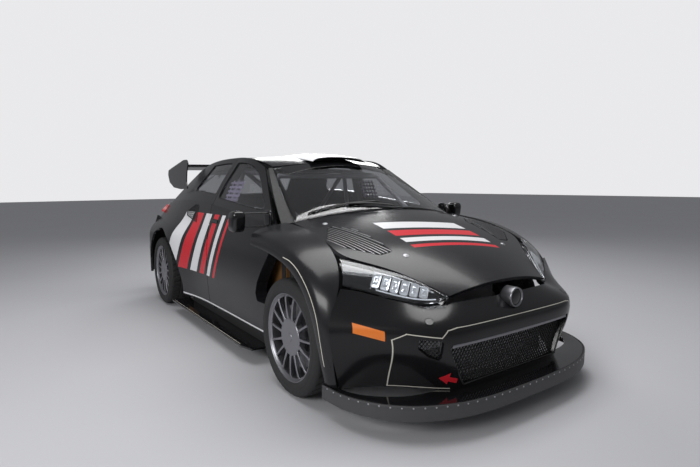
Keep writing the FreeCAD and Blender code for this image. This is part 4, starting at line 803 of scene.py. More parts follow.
@dataclass(frozen=True)
class Patch:
    """A convex patch of colour: its corners in two of the three coordinates."""

    colour: Spot
    corners: Pairs
    axes: tuple[int, int] = (0, 2)

    def share(self, nodes: Nodes) -> bpy.types.NodeSocket:
        """One inside the patch and zero outside: the least of its edges' distances."""
        corners = np.array(self.corners)
        centre = corners.mean(axis=0)
        least = None
        for start, end in zip(corners, np.roll(corners, -1, axis=0)):
            way = end - start
            across = np.array([way[1], -way[0]]) / np.linalg.norm(way)
            if np.dot(across, centre - start) < 0:
                across = -across
            vector = [0.0, 0.0, 0.0]
            vector[self.axes[0]], vector[self.axes[1]] = across
            edge = nodes.math("SUBTRACT", nodes.dot(vector), float(np.dot(across, start)))
            least = edge if least is None else nodes.math("MINIMUM", least, edge)
        return nodes.spread(least, 0.0, 1.0, -0.0004, 0.0004)


@dataclass(frozen=True)
class Finish:
    """A surface's finish."""

    name: str
    colour: Spot
    rough: float = 0.5
    metal: float = 0.0
    coat: float = 0.0
    mottle: float = 0.12
    grain: float = 60.0
    bump: float = 0.0
    bump_scale: float = 800.0
    stretch: Spot = (1, 1, 1)
    glass: float = 0.0
    glow: float = 0.0
    sheen: float = 0.0
    specular: float = 0.5

    def material(self) -> bpy.types.Material:
        """The material, made once."""
        found = bpy.data.materials.get(self.name)
        return found if found else self.build()

    def build(self) -> bpy.types.Material:
        """Colour and roughness wander with noise, and a fine grain raises the surface."""
        nodes = Nodes(self.name)
        shader = nodes.shader.inputs
        wander = nodes.noise(self.grain, 3.0, self.stretch)
        self.colours(nodes, wander)
        shader["Metallic"].default_value = self.metal
        shader["Coat Weight"].default_value = self.coat
        shader["Coat Roughness"].default_value = 0.06
        shader["Specular IOR Level"].default_value = self.specular
        if self.glass:
            shader["Transmission Weight"].default_value = self.glass
            shader["IOR"].default_value = 1.46
            shader["Roughness"].default_value = self.rough
        else:
            nodes.join(nodes.spread(wander, self.rough * 0.85, min(1.0, self.rough * 1.18)),
                       shader["Roughness"])
        if self.sheen:
            shader["Sheen Weight"].default_value = self.sheen
        if self.glow:
            shader["Emission Color"].default_value = rgba(self.colour)
            shader["Emission Strength"].default_value = self.glow
        self.relief(nodes)
        return nodes.material

    def relief(self, nodes: Nodes) -> None:
        """A fine grain that raises the surface."""
        if self.bump:
            nodes.bump(nodes.noise(self.bump_scale, 2.0, self.stretch), self.bump, 0.001)

    def colours(self, nodes: Nodes, wander: bpy.types.NodeSocket) -> None:
        """The base colour, a little lighter and darker with the wandering noise."""
        base = np.array(self.colour)
        dark = np.clip(base * (1 - self.mottle), 0, 1)
        light = np.clip(base * (1 + self.mottle), 0, 1)
        nodes.join(nodes.mix(wander, rgba(dark), rgba(light)), nodes.shader.inputs["Base Color"])


@dataclass(frozen=True)
class WeaveFinish(Finish):
    """A finish with a woven or ribbed relief."""

    weave: float = 300.0
    strength: float = 0.4
    height: float = 0.0006

    def relief(self, nodes: Nodes) -> None:
        """Two crossing sets of ridges: the surface rises with the higher one."""
        ridges = nodes.math("MAXIMUM", nodes.wave(self.weave, "X"), nodes.wave(self.weave, "Z"))
        nodes.bump(ridges, self.strength, self.height)


@dataclass(frozen=True)
class LiveryFinish(Finish):
    """The body paint with patches of colour laid over it."""

    patches: tuple[Patch, ...] = ()

    def colours(self, nodes: Nodes, wander: bpy.types.NodeSocket) -> None:
        """Each patch covers what is under it."""
        base = np.array(self.colour)
        shade = nodes.mix(wander, rgba(base * (1 - self.mottle)), rgba(base * (1 + self.mottle)))
        for patch in self.patches:
            shade = nodes.mix(patch.share(nodes), shade, rgba(patch.colour))
        nodes.join(shade, nodes.shader.inputs["Base Color"])


BLACK = (0.012, 0.012, 0.014)
DEEP_BLACK = (0.008, 0.008, 0.009)
WHITE = (0.78, 0.78, 0.80)
RED = (0.62, 0.018, 0.03)
PALE = (0.62, 0.60, 0.52)


def quad(*corners: Pair) -> Pairs:
    """Corners counted from the front axle, as places."""
    return tuple((x + FRONT_AXLE, other) for x, other in corners)


def slanted_bars(first: float, gap: float, widths: Sequence[float], low: float, high: float,
                 lean: float, axes: tuple[int, int] = (0, 2)) -> tuple[Patch, ...]:
    """Parallel bars that get narrower, white and red in turn.

    Args:
        first: where the first bar starts, counted from the front axle.
        gap: between two bars.
        widths: of the bars, in turn.
        low: where the bars start across.
        high: where they end across.
        lean: how far a bar's far end lies further forward than its near end.
        axes: the two coordinates that the bars lie in.
    """
    made, foot = [], first
    for k, width in enumerate(widths):
        ring = quad((foot, low), (foot + width, low), (foot + width + lean, high),
                    (foot + lean, high))
        made.append(Patch((WHITE, RED)[k % 2], ring, axes))
        foot += width + gap
    return tuple(made)


FLANK_PATCHES = slanted_bars(first=-2.34, gap=0.060,
                             widths=(0.21, 0.17, 0.13, 0.095, 0.065, 0.040),
                             low=0.44, high=0.93, lean=0.24) + (
    Patch(WHITE, quad((-2.30, 0.225), (-0.45, 0.225), (-0.45, 0.213), (-2.30, 0.213))),)
BONNET_PATCHES = slanted_bars(first=-0.02, gap=0.034, widths=(0.105, 0.080, 0.055, 0.032),
                              low=-0.30, high=0.30, lean=0.10, axes=(0, 1))
ROOF_PATCHES = (
    Patch(WHITE, quad((-1.90, -0.44), (-0.96, -0.30), (-0.96, 0.30), (-1.90, 0.44)), (0, 1)),
)


def stripe(points: Sequence[Pair], width: float,
           colour: Spot) -> tuple[Patch, ...]:
    """A thin line through points, seen from the front, as one patch a run."""
    made = []
    for start, end in zip(np.array(points[:-1]), np.array(points[1:])):
        way = (end - start) / np.linalg.norm(end - start)
        across = np.array([-way[1], way[0]]) * width / 2
        start, end = start - way * width / 2, end + way * width / 2
        ring = (start - across, start + across, end + across, end - across)
        made.append(Patch(colour, tuple((float(y), float(z)) for y, z in ring), (1, 2)))
    return tuple(made)


CHEEK_CORNERS = ((0.430, 0.178), (0.650, 0.178), (0.700, 0.440), (0.650, 0.470),
                 (0.520, 0.452), (0.490, 0.484), (0.440, 0.492))
CHEEK_WIDTH = 0.0045
BROW_ENDS = ((-0.440, 0.492), (0.440, 0.492))
BROW_WIDTH = 0.0035
CHEEK_LINES = tuple(
    patch for side in Side
    for patch in stripe([(side.sign * y, z) for y, z in CHEEK_CORNERS], CHEEK_WIDTH, PALE)
) + stripe(BROW_ENDS, BROW_WIDTH, PALE)

SATIN = LiveryFinish("body_satin", BLACK, rough=0.24, coat=0.10, mottle=0.10, grain=9.0,
                     bump=0.02, bump_scale=1500.0, specular=0.32, patches=FLANK_PATCHES)
BONNET_PAINT = replace(SATIN, name="bonnet_satin", patches=BONNET_PATCHES)
ROOF_PAINT = replace(SATIN, name="roof_satin", mottle=0.12, patches=ROOF_PATCHES)
PLAIN_SATIN = replace(SATIN, name="plain_satin", mottle=0.12, patches=())
BUMPER_PAINT = LiveryFinish("bumper_gloss", DEEP_BLACK, rough=0.19, coat=0.08, grain=12.0,
                            specular=0.34, patches=CHEEK_LINES)
GLOSS = Finish("gloss_black", DEEP_BLACK, rough=0.10, coat=0.35, grain=12.0, specular=0.4)
TRIM = Finish("matt_moulding", (0.018, 0.018, 0.019), rough=0.62, grain=40.0, bump=0.12,
              bump_scale=1200.0)
LINER = Finish("arch_liner", (0.16, 0.075, 0.022), rough=0.55, mottle=0.35, grain=26.0,
               bump=0.2, bump_scale=300.0)
TINTED = Finish("tinted_glass", (0.80, 0.81, 0.83), rough=0.02, glass=1.0, mottle=0.02)
SMOKED = Finish("smoked_lens", (0.88, 0.90, 0.92), rough=0.01, glass=1.0, mottle=0.01)
CHROME = Finish("bright_metal", (0.82, 0.83, 0.85), rough=0.08, metal=1.0, mottle=0.04)
STEEL = Finish("steel", (0.42, 0.42, 0.44), rough=0.32, metal=1.0, mottle=0.15, grain=90.0)
ALLOY = Finish("cast_alloy", (0.55, 0.55, 0.57), rough=0.42, metal=1.0, mottle=0.12,
               bump=0.15, bump_scale=600.0)
RIM = Finish("rim_grey", (0.30, 0.30, 0.315), rough=0.36, metal=0.75, mottle=0.10, grain=30.0,
             bump=0.03)
RUBBER = Finish("tyre_rubber", (0.018, 0.018, 0.019), rough=0.72, mottle=0.22, grain=35.0,
                bump=0.15, bump_scale=500.0)
LAMP_RED = Finish("lamp_red", (0.42, 0.01, 0.012), rough=0.08, coat=0.8, mottle=0.05)
BAND = Finish("rubber_band", (0.055, 0.055, 0.058), rough=0.55, mottle=0.15, grain=30.0,
              bump=0.10, bump_scale=900.0)
CRYSTAL = Finish("lamp_crystal", (0.86, 0.88, 0.92), rough=0.10, metal=0.6, mottle=0.10,
                 grain=160.0, glow=0.14)
STRIP = Finish("lamp_strip", (0.80, 0.83, 0.88), rough=0.12, mottle=0.04, glow=0.35)
LOUVRE = Finish("louvre_dark", (0.030, 0.030, 0.033), rough=0.34, metal=0.5, mottle=0.12,
                grain=40.0, bump=0.05)
# Pale lines; on the front flare this colour paints the highlight along its edge
PALE_PAINT = Finish("pale_line", PALE, rough=0.4, coat=0.1, mottle=0.04)
NET_DARK = WeaveFinish("window_net_dark", (0.20, 0.17, 0.30), rough=0.8, sheen=0.2, weave=320.0)
WEBBING = WeaveFinish("harness_web", (0.05, 0.05, 0.06), rough=0.75, sheen=0.2, weave=420.0)
CAGE = Finish("cage_paint", (0.30, 0.30, 0.33), rough=0.40, coat=0.2, mottle=0.08)
CLOTH = WeaveFinish("seat_cloth", (0.022, 0.022, 0.026), rough=0.85, sheen=0.3, weave=260.0)
NET = WeaveFinish("window_net", (0.42, 0.36, 0.55), rough=0.8, sheen=0.2, weave=320.0)
BRAKE = Finish("brake_disc", (0.33, 0.33, 0.34), rough=0.30, metal=1.0, mottle=0.15,
               grain=140.0, stretch=(1, 0.1, 1))
ORANGE = Finish("orange_plate", (0.80, 0.20, 0.02), rough=0.35, coat=0.3, mottle=0.04)
BARE_WHITE = Finish("white_plate", WHITE, rough=0.35, coat=0.3, mottle=0.03)
BARE_RED = Finish("red_plate", RED, rough=0.35, coat=0.3, mottle=0.04)


# Shares of the body's control nets

DOOR_LOWER_SHARES = (
    (-0.1635, -0.559, (0.869, 0.875, 0.875, 0.880, 0.885), 0.146),
    (-0.1654, -0.5627, (0.890, 0.900, 0.900, 0.902, 0.906), 0.286),
    (-0.1635, -0.5684, (0.880, 0.890, 0.893, 0.896, 0.900), 0.429),
    (-0.1597, -0.5741, (0.853, 0.864, 0.869, 0.872, 0.875), 0.557),
    (-0.154, -0.576, (0.816, 0.821, 0.821, 0.824, 0.827), (0.654, 0.668, 0.684, 0.702, 0.718)),
)
DOOR_UPPER_SHARES = (
    (-0.165, -0.576, (0.808, 0.813, 0.813, 0.816, 0.819), (0.650, 0.664, 0.680, 0.698, 0.714)),
    (-0.266, -0.559, (0.709, 0.727, 0.734, 0.737, 0.738), (0.786, 0.806, 0.822, 0.835, 0.843)),
    (-0.3593, -0.5228, (0.605, 0.615, 0.621, 0.625, 0.625), (0.918, 0.954, 0.973, 0.981, 0.982)),
)
QUARTER_LOWER_SHARES = (
    (-0.559, -1.148, (0.885, 0.892, 0.950, 1.000, 1.000, 0.995, 0.985), 0.146),
    (-0.5627, -1.148, (0.906, 0.912, 0.960, 1.000, 1.000, 1.000, 0.987), 0.286),
    (-0.5684, -1.148, (0.900, 0.908, 0.955, 1.000, 1.000, 1.000, 0.987), 0.429),
    (-0.5725, -1.148, (0.885, 0.892, 0.948, 1.000, 1.000, 1.000, 0.985), 0.515),
    (-0.5745, -1.148, (0.871, 0.876, 0.908, 0.940, 0.945, 0.930, 0.890), 0.570),
    (-0.576, -1.148, (0.853, 0.856, 0.862, 0.864, 0.858, 0.842, 0.815), 0.630),
    (-0.576, -1.135, (0.827, 0.820, 0.817, 0.812, 0.800, 0.780, 0.750),
     (0.718, 0.730, 0.736, 0.734, 0.725, 0.712, 0.700)),
)
QUARTER_UPPER_SHARES = (
    (-0.576, -1.135, (0.819, 0.815, 0.805, 0.780, 0.742), (0.714, 0.730, 0.731, 0.716, 0.696)),
    (-0.559, -1.045, (0.738, 0.730, 0.718, 0.692, 0.655), (0.843, 0.850, 0.850, 0.838, 0.815)),
    (-0.5228, -0.940, (0.625, 0.624, 0.616, 0.603, 0.582), (0.982, 0.984, 0.978, 0.957, 0.918)),
)
BONNET_SHARES = (
    (-0.093, -0.125, 0.731, 0.707, 0.661), (-0.038, -0.057, 0.747, 0.682, 0.646),
    (0.019, 0.011, 0.763, 0.654, 0.627), (0.076, 0.072, 0.779, 0.623, 0.589),
    (0.118, 0.104, 0.765, 0.602, 0.560), (0.160, 0.150, 0.635, 0.574, 0.535),
    (0.209, 0.200, 0.520, 0.539, 0.500), (0.278, 0.266, 0.411, 0.473, 0.438),
)
VENT_SHARES = ((0.131, 0.469), (0.130, 0.565), (0.076, 0.715), (0.032, 0.745),
               (-0.034, 0.619), (0.011, 0.507))
ROOF_SHARES = (
    (-0.323, -0.3593, 0.545, 0.946, 0.922), (-0.399, -0.411, 0.583, 0.980, 0.962),
    (-0.513, -0.517, 0.593, 0.998, 0.984), (-0.665, -0.665, 0.588, 1.000, 0.982),
    (-0.798, -0.798, 0.572, 0.989, 0.966), (-0.958, -0.935, 0.552, 0.957, 0.926),
)
WINDSCREEN_SHARES = (
    (-0.091, -0.124, 0.720, 0.711, 0.661), (-0.205, -0.240, 0.645, 0.832, 0.791),
    (-0.3195, -0.356, 0.549, 0.946, 0.914),
)
TAILGATE_SHARES = (
    (-0.964, -0.941, 0.576, 0.954, 0.918), (-1.042, -1.019, 0.640, 0.864, 0.832),
    (-1.122, -1.103, 0.709, 0.757, 0.736), (-1.165, -1.150, 0.736, 0.679, 0.671),
    (-1.188, -1.172, 0.736, 0.586, 0.586), (-1.196, -1.180, 0.736, 0.486, 0.486),
)
WING_SHARES = (
    ((0.128, 0.940, 0.1213), (0.136, 0.945, 0.1213), (0.146, 0.942, 0.1213),
     (0.155, 0.930, 0.1213), (0.163, 0.918, 0.1213)),
    ((0.134, 0.980, 0.221), (0.143, 0.985, 0.221), (0.153, 0.982, 0.221), (0.161, 0.972, 0.219),
     (0.168, 0.960, 0.217)),
    ((0.127, 0.997, 0.336), (0.144, 1.0, 0.339), (0.152, 0.992, 0.346), (0.162, 0.971, 0.357),
     (0.165, 0.949, 0.379)),
    ((0.091, 0.997, 0.443), (0.120, 1.0, 0.446), (0.131, 0.976, 0.464), (0.143, 0.928, 0.479),
     (0.152, 0.870, 0.484)),
    ((0.038, 0.997, 0.511), (0.068, 1.0, 0.532), (0.080, 0.971, 0.546), (0.093, 0.896, 0.561),
     (0.103, 0.795, 0.564)),
    ((-0.019, 0.997, 0.543), (-0.008, 1.0, 0.586), (0.0, 0.965, 0.607), (0.015, 0.875, 0.625),
     (0.023, 0.763, 0.632)),
    ((-0.084, 0.997, 0.561), (-0.080, 1.0, 0.607), (-0.076, 0.965, 0.630),
     (-0.065, 0.875, 0.646), (-0.057, 0.752, 0.651)),
    ((-0.156, 0.997, 0.571), (-0.156, 0.997, 0.614), (-0.156, 0.960, 0.632),
     (-0.154, 0.885, 0.646), (-0.129, 0.768, 0.664)),
)
BUMPER_PLAN_SHARES = ((0.3156, 0.0), (0.315, 0.267), (0.3125, 0.48), (0.295, 0.597),
                      (0.253, 0.725), (0.207, 0.853), (0.181, 0.939), (0.169, 0.979))
BUMPER_TOP_SHARES = ((0.279, 0.0, 0.418), (0.277, 0.267, 0.418), (0.266, 0.421, 0.416),
                     (0.245, 0.517, 0.400), (0.211, 0.661, 0.429), (0.179, 0.779, 0.457),
                     (0.163, 0.843, 0.468), (0.156, 0.885, 0.471))
BUMPER_FOOT_SHARES = ((0.3042, 0.0), (0.3042, 0.235), (0.2985, 0.405), (0.2757, 0.491),
                      (0.2452, 0.576), (0.2034, 0.688), (0.1787, 0.811), (0.1650, 0.913))
BUMPER_LEVELS_SHARES = ((0.1213, 0.0, 0.0), (0.180, 0.35, 0.0), (0.240, 0.75, 0.0),
                        (0.300, 1.0, 0.0), (0.345, 1.0, 0.001), (0.368, 1.0, 0.008))
MOUTH_HALF = ((0.376, 0.198), (0.430, 0.300), (0.478, 0.390), (0.470, 0.415))
DUCT_SHARES = ((0.545, 0.240), (0.600, 0.255), (0.648, 0.285), (0.648, 0.320), (0.545, 0.311))
NOTCH_SHARES = ((-0.10, 0.297), (-0.213, 0.293), (-0.220, 0.330), (-0.212, 0.38),
                (-0.196, 0.43), (-0.174, 0.49), (-0.155, 0.545), (-0.10, 0.56))
ARCH_SHARES = ((-0.752, 0.0), (-0.760, 0.22), (-0.795, 0.335), (-0.850, 0.450), (-0.915, 0.515),
               (-0.965, 0.540), (-1.015, 0.530), (-1.070, 0.490), (-1.115, 0.420),
               (-1.145, 0.330), (-1.152, 0.22), (-1.152, 0.0))
SPLITTER_SHARES = ((0.3536, 0.0), (0.3525, 0.2), (0.3490, 0.356), (0.3376, 0.523),
                   (0.3125, 0.688), (0.2833, 0.800), (0.2433, 0.885), (0.1900, 0.944),
                   (0.1290, 0.960))
TAIL_PLAN_SHARES = ((-1.2529, 0.0), (-1.251, 0.373), (-1.243, 0.64), (-1.229, 0.811),
                    (-1.204, 0.933), (-1.176, 0.976), (-1.148, 0.987))
TAIL_TOP_SHARES = ((-1.218, 0.0, 0.471), (-1.216, 0.373, 0.471), (-1.210, 0.64, 0.475),
                   (-1.202, 0.757, 0.500), (-1.190, 0.821, 0.571), (-1.171, 0.875, 0.607),
                   (-1.148, 0.890, 0.610))
TAIL_LEVELS_SHARES = ((0.186, 0.008), (0.286, 0.0), (0.371, 0.0), (0.421, 0.004))
SCOOP_SHARES = (
    ((-0.312, 0.0, 0.978), (-0.312, 0.14, 0.976), (-0.312, 0.24, 0.966), (-0.312, 0.26, 0.950)),
    ((-0.36, 0.0, 0.997), (-0.36, 0.14, 0.995), (-0.36, 0.235, 0.985), (-0.36, 0.258, 0.962)),
    ((-0.43, 0.0, 1.012), (-0.43, 0.13, 1.010), (-0.43, 0.21, 1.000), (-0.43, 0.24, 0.984)),
    ((-0.53, 0.0, 1.008), (-0.53, 0.10, 1.007), (-0.53, 0.16, 1.002), (-0.53, 0.19, 0.998)),
)
SEAT_PROFILE_SHARES = ((0.95, 0.10), (0.62, 0.04), (0.25, 0.0), (0.02, 0.06), (-0.10, 0.35),
                       (-0.20, 0.75), (-0.28, 1.10), (-0.30, 1.30))
SEAT_CROSS_SHARES = ((-1.0, 0.42), (-0.88, 0.16), (-0.55, 0.02), (0.0, 0.0), (0.55, 0.02),
                     (0.88, 0.16), (1.0, 0.42))
LAMP_UPPER_SHARES = ((0.105, 0.795, 0.558), (0.141, 0.705, 0.540), (0.179, 0.603, 0.518),
                     (0.217, 0.512, 0.492), (0.262, 0.418, 0.438))
LAMP_LOWER_SHARES = ((0.148, 0.860, 0.480), (0.179, 0.771, 0.460), (0.209, 0.670, 0.432),
                     (0.243, 0.527, 0.405), (0.262, 0.428, 0.420))

CABIN = places((-0.55, 0, 0.45))
ENGINE_BAY = places((0.05, 0, 0.2))
UNDER_ROOF = places((-0.6, 0, 0.3))
UNDER_TAIL = places((-1.0, 0, 0.3))
# Shares of places behind a front wing and a headlamp
WING_INSIDE = (0.0, 0.5, 0.2)
LAMP_INSIDE = (0.1, 0.45, 0.3)
# How far a lens stands proud of the line between its edges
LAMP_PROUD = 0.012


def settle(made: bpy.types.Object, body: str, nodes: Sequence[str] = (),
           finishes: Sequence[Finish] = ()) -> bpy.types.Object:
    """Finish a piece, tie it to its body and hide the imported parts that it stands for."""
    if finishes:
        paint(made, *finishes)
    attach(made, body)
    if nodes:
        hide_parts(*nodes)
    log.info("%s rides on %s, %d faces", made.name, body, len(made.data.polygons))
    return made


@dataclass
class Panel:
    """A body panel: a smooth skin with its openings, its wall and its round edges."""

    name: str
    net: Array
    inside: Array
    wall: float
    field: Field | None = None
    pitch: float = 0.011
    edge: float = 0.0022
    depth: float = 0.0

    def build(self) -> bpy.types.Object:
        """The panel, with its wall going inwards."""
        spots, faces = cut_sheet(Skin(self.net), self.pitch, self.field, self.inside, self.depth)
        made = mesh_object(self.name, spots, faces)
        thicken(made, self.wall, self.edge, inner=1)
        return made


def bumper_net() -> Array:
    """The front bumper's net: its foot, its levels and its upper edge."""
    foot, plan = np.array(BUMPER_FOOT_SHARES), np.array(BUMPER_PLAN_SHARES)
    rows = [np.column_stack([foot + (plan - foot) * share - [back, 0],
                             np.full(len(foot), z)])
            for z, share, back in BUMPER_LEVELS_SHARES] + [np.array(BUMPER_TOP_SHARES)]
    return trimmed(mirrored(rows))


def net_outline(net: Array) -> Array:
    """The outline of a flank's net, seen from the side."""
    ring = np.concatenate([net[0], net[1:-1, -1], net[-1][::-1], net[1:-1, 0][::-1]])
    return ring[:, [0, 2]]


def mouth_ring(gap: float = 0.0) -> Array:
    """The mouth's outline seen from the front, drawn in at its sides by a gap."""
    half = np.array(MOUTH_HALF) - [gap, 0.0]
    return np.concatenate([half, half[::-1] * [-1, 1]])


def window(net: Array, border: float, lift: float, corner: float = 0.024,
           keep_inside: bool = False, margin: float = 0.0) -> Field:
    """A flank window's line: the net's outline drawn in, its sill lifted."""
    raised = net.copy()
    raised[0, :, 2] += lift
    return opening(inset(net_outline(raised), border), (0, 2), corner, keep_inside, margin)


@dataclass
class BodySkins:
    """The outer panels of the body and its glass."""

    panel_wall: float = 0.022
    door_wall: float = 0.080
    frame_wall: float = 0.034
    roof_wall: float = 0.018
    bumper_wall: float = 0.026
    glass_wall: float = 0.005
    glass_depth: float = 0.009
    glass_pitch: float = 0.020
    glass_gap: float = 0.0003
    window_border: float = 0.040
    arch_corner: float = 0.200
    vent_corner: float = 0.020
    mouth_corner: float = 0.006
    duct_corner: float = 0.009
    fold_edge: float = 0.003
    leaf_edge: float = 0.004
    scoop_edge: float = 0.001
    rear_window: Pairs = ((-0.52, 0.915), (0.52, 0.915), (0.63, 0.76), (-0.63, 0.76))

    def build(self) -> None:
        """All the panels."""
        for side in Side:
            self.door(side)
            self.quarter(side)
            self.front_wing(side)
        self.bonnet()
        self.roof()
        self.screens()
        self.tailgate()
        self.front_bumper()
        self.rear_bumper()

    def pane(self, name: str, net: Array, line: Field | None, body: str, node: str,
             depth: float) -> None:
        """A pane of glass that follows a skin.

        Args:
            name: of the piece.
            net: of the skin.
            line: positive where the glass is; none keeps the whole skin.
            body: that the glass rides on.
            node: that it stands for.
            depth: how far it lies under the skin.
        """
        made = Panel(name, net, CABIN, self.glass_wall, line, self.glass_pitch, 0.0,
                     depth).build()
        settle(made, body, [node], (TINTED, TINTED))

    def door(self, side: Side) -> None:
        """A door: its leaf, its window frame and its glass."""
        body = "side_door_" + side.word
        lower = trimmed(flank(DOOR_LOWER_SHARES, side.sign))
        upper = trimmed(flank(DOOR_UPPER_SHARES, side.sign))
        lift = self.window_border / 2
        leaf = Panel("door_leaf_" + side.word, lower, CABIN, self.door_wall,
                     opening(side_places(NOTCH_SHARES), (0, 2), lift),
                     edge=self.leaf_edge).build()
        settle(leaf, body, ["door_" + side.word], (SATIN, TRIM))
        rim = Panel("door_frame_" + side.word, upper, CABIN, self.frame_wall,
                    window(upper, self.window_border, lift)).build()
        settle(rim, body, (), (GLOSS, TRIM))
        line = window(upper, self.window_border, lift, keep_inside=True, margin=self.glass_gap)
        self.pane("door_pane_" + side.word, upper, line, body, "door_glass_" + side.word,
                  self.glass_depth)

    def quarter(self, side: Side) -> None:
        """A rear quarter: the flank with its arch, and the pillar with its window."""
        lower = trimmed(flank(QUARTER_LOWER_SHARES, side.sign))
        upper = trimmed(flank(QUARTER_UPPER_SHARES, side.sign))
        arch = opening(side_places(ARCH_SHARES), (0, 2), self.arch_corner)
        skin = Panel("quarter_skin_" + side.word, lower, CABIN, self.panel_wall, arch).build()
        settle(skin, "chassis", ["quarter_" + side.word], (SATIN, TRIM))
        front, border = upper[:, :3], self.window_border
        pillar = Panel("quarter_pillar_" + side.word, upper, CABIN, self.panel_wall,
                       window(front, border, border)).build()
        settle(pillar, "chassis", (), (PLAIN_SATIN, TRIM))
        line = window(front, border, border, keep_inside=True, margin=self.glass_gap)
        self.pane("quarter_pane_" + side.word, upper, line, "chassis", "quarter_glass",
                  self.glass_depth)

    def front_wing(self, side: Side) -> None:
        """A front wing, from the bumper over the arch to the windscreen."""
        net = trimmed(places(WING_SHARES, side.sign))
        skin = Panel("wing_skin_" + side.word, net, places(WING_INSIDE, side.sign),
                     self.panel_wall, edge=self.fold_edge).build()
        settle(skin, "chassis", ["wing_" + side.word], (PLAIN_SATIN, TRIM))

    def bonnet(self) -> None:
        """The bonnet with its two outlets."""
        fields = [opening(top_places(VENT_SHARES, side.sign), (0, 1), self.vent_corner)
                  for side in Side]
        skin = Panel("bonnet_skin", trimmed(crossing(BONNET_SHARES)), ENGINE_BAY,
                     self.panel_wall, both(*fields), pitch=0.012, edge=self.fold_edge).build()
        settle(skin, "bonnet_lid", ["bonnet"], (BONNET_PAINT, TRIM))

    def roof(self) -> None:
        """The roof panel and its scoop."""
        net = trimmed(crossing(ROOF_SHARES))
        skin = Panel("roof_skin", net, UNDER_ROOF, self.roof_wall, pitch=0.016).build()
        settle(skin, "chassis", ["roof_panel"], (ROOF_PAINT, TRIM))
        scoop = Panel("scoop_skin", mirrored(SCOOP_SHARES), UNDER_ROOF, self.glass_wall,
                      pitch=0.010, edge=self.scoop_edge).build()
        settle(scoop, "chassis", ["roof_scoop"], (BARE_WHITE, TRIM))

    def screens(self) -> None:
        """The windscreen, which fills its whole skin."""
        self.pane("windscreen_pane", trimmed(crossing(WINDSCREEN_SHARES)), None, "chassis",
                  "windscreen", 0.0)

    def tailgate(self) -> None:
        """The tailgate and the rear window."""
        net = trimmed(crossing(TAILGATE_SHARES))
        corners = front_places(self.rear_window)
        skin = Panel("tailgate_skin", net, CABIN, self.panel_wall,
                     opening(corners, (1, 2), self.window_border), pitch=0.012).build()
        settle(skin, "tail_door", ["tailgate"], (PLAIN_SATIN, TRIM))
        line = opening(corners, (1, 2), self.window_border, True, self.glass_gap)
        self.pane("rear_pane", net, line, "tail_door", "rear_window", self.glass_depth)

    def front_bumper(self) -> None:
        """The front bumper with its mouth and its two ducts."""
        cuts = [opening(mouth_ring(), (1, 2), self.mouth_corner)]
        cuts += [opening(front_places(DUCT_SHARES, side.sign), (1, 2), self.duct_corner)
                 for side in Side]
        skin = Panel("bumper_skin", bumper_net(), ENGINE_BAY, self.bumper_wall, both(*cuts),
                     pitch=0.010, edge=self.fold_edge).build()
        settle(skin, "chassis", ["front_bumper"], (BUMPER_PAINT, TRIM))

    def rear_bumper(self) -> None:
        """The rear bumper."""
        rows = [[(x + back * (1 - abs(y)), y, z) for x, y in TAIL_PLAN_SHARES]
                for z, back in TAIL_LEVELS_SHARES] + [list(TAIL_TOP_SHARES)]
        skin = Panel("rear_bumper_skin", trimmed(mirrored(rows)), UNDER_TAIL, self.bumper_wall,
                     pitch=0.014, edge=self.fold_edge).build()
        settle(skin, "chassis", ["rear_bumper"], (PLAIN_SATIN, TRIM))


def lamp_skin(side: Side) -> Skin:
    """The lens surface of a headlamp, a little proud between its two edges."""
    upper, lower = np.array(LAMP_UPPER_SHARES), np.array(LAMP_LOWER_SHARES)
    middle = (upper + lower) / 2 + [LAMP_PROUD, 0, LAMP_PROUD]
    return Skin(trimmed(places(np.array([upper, middle, lower]), side.sign)))


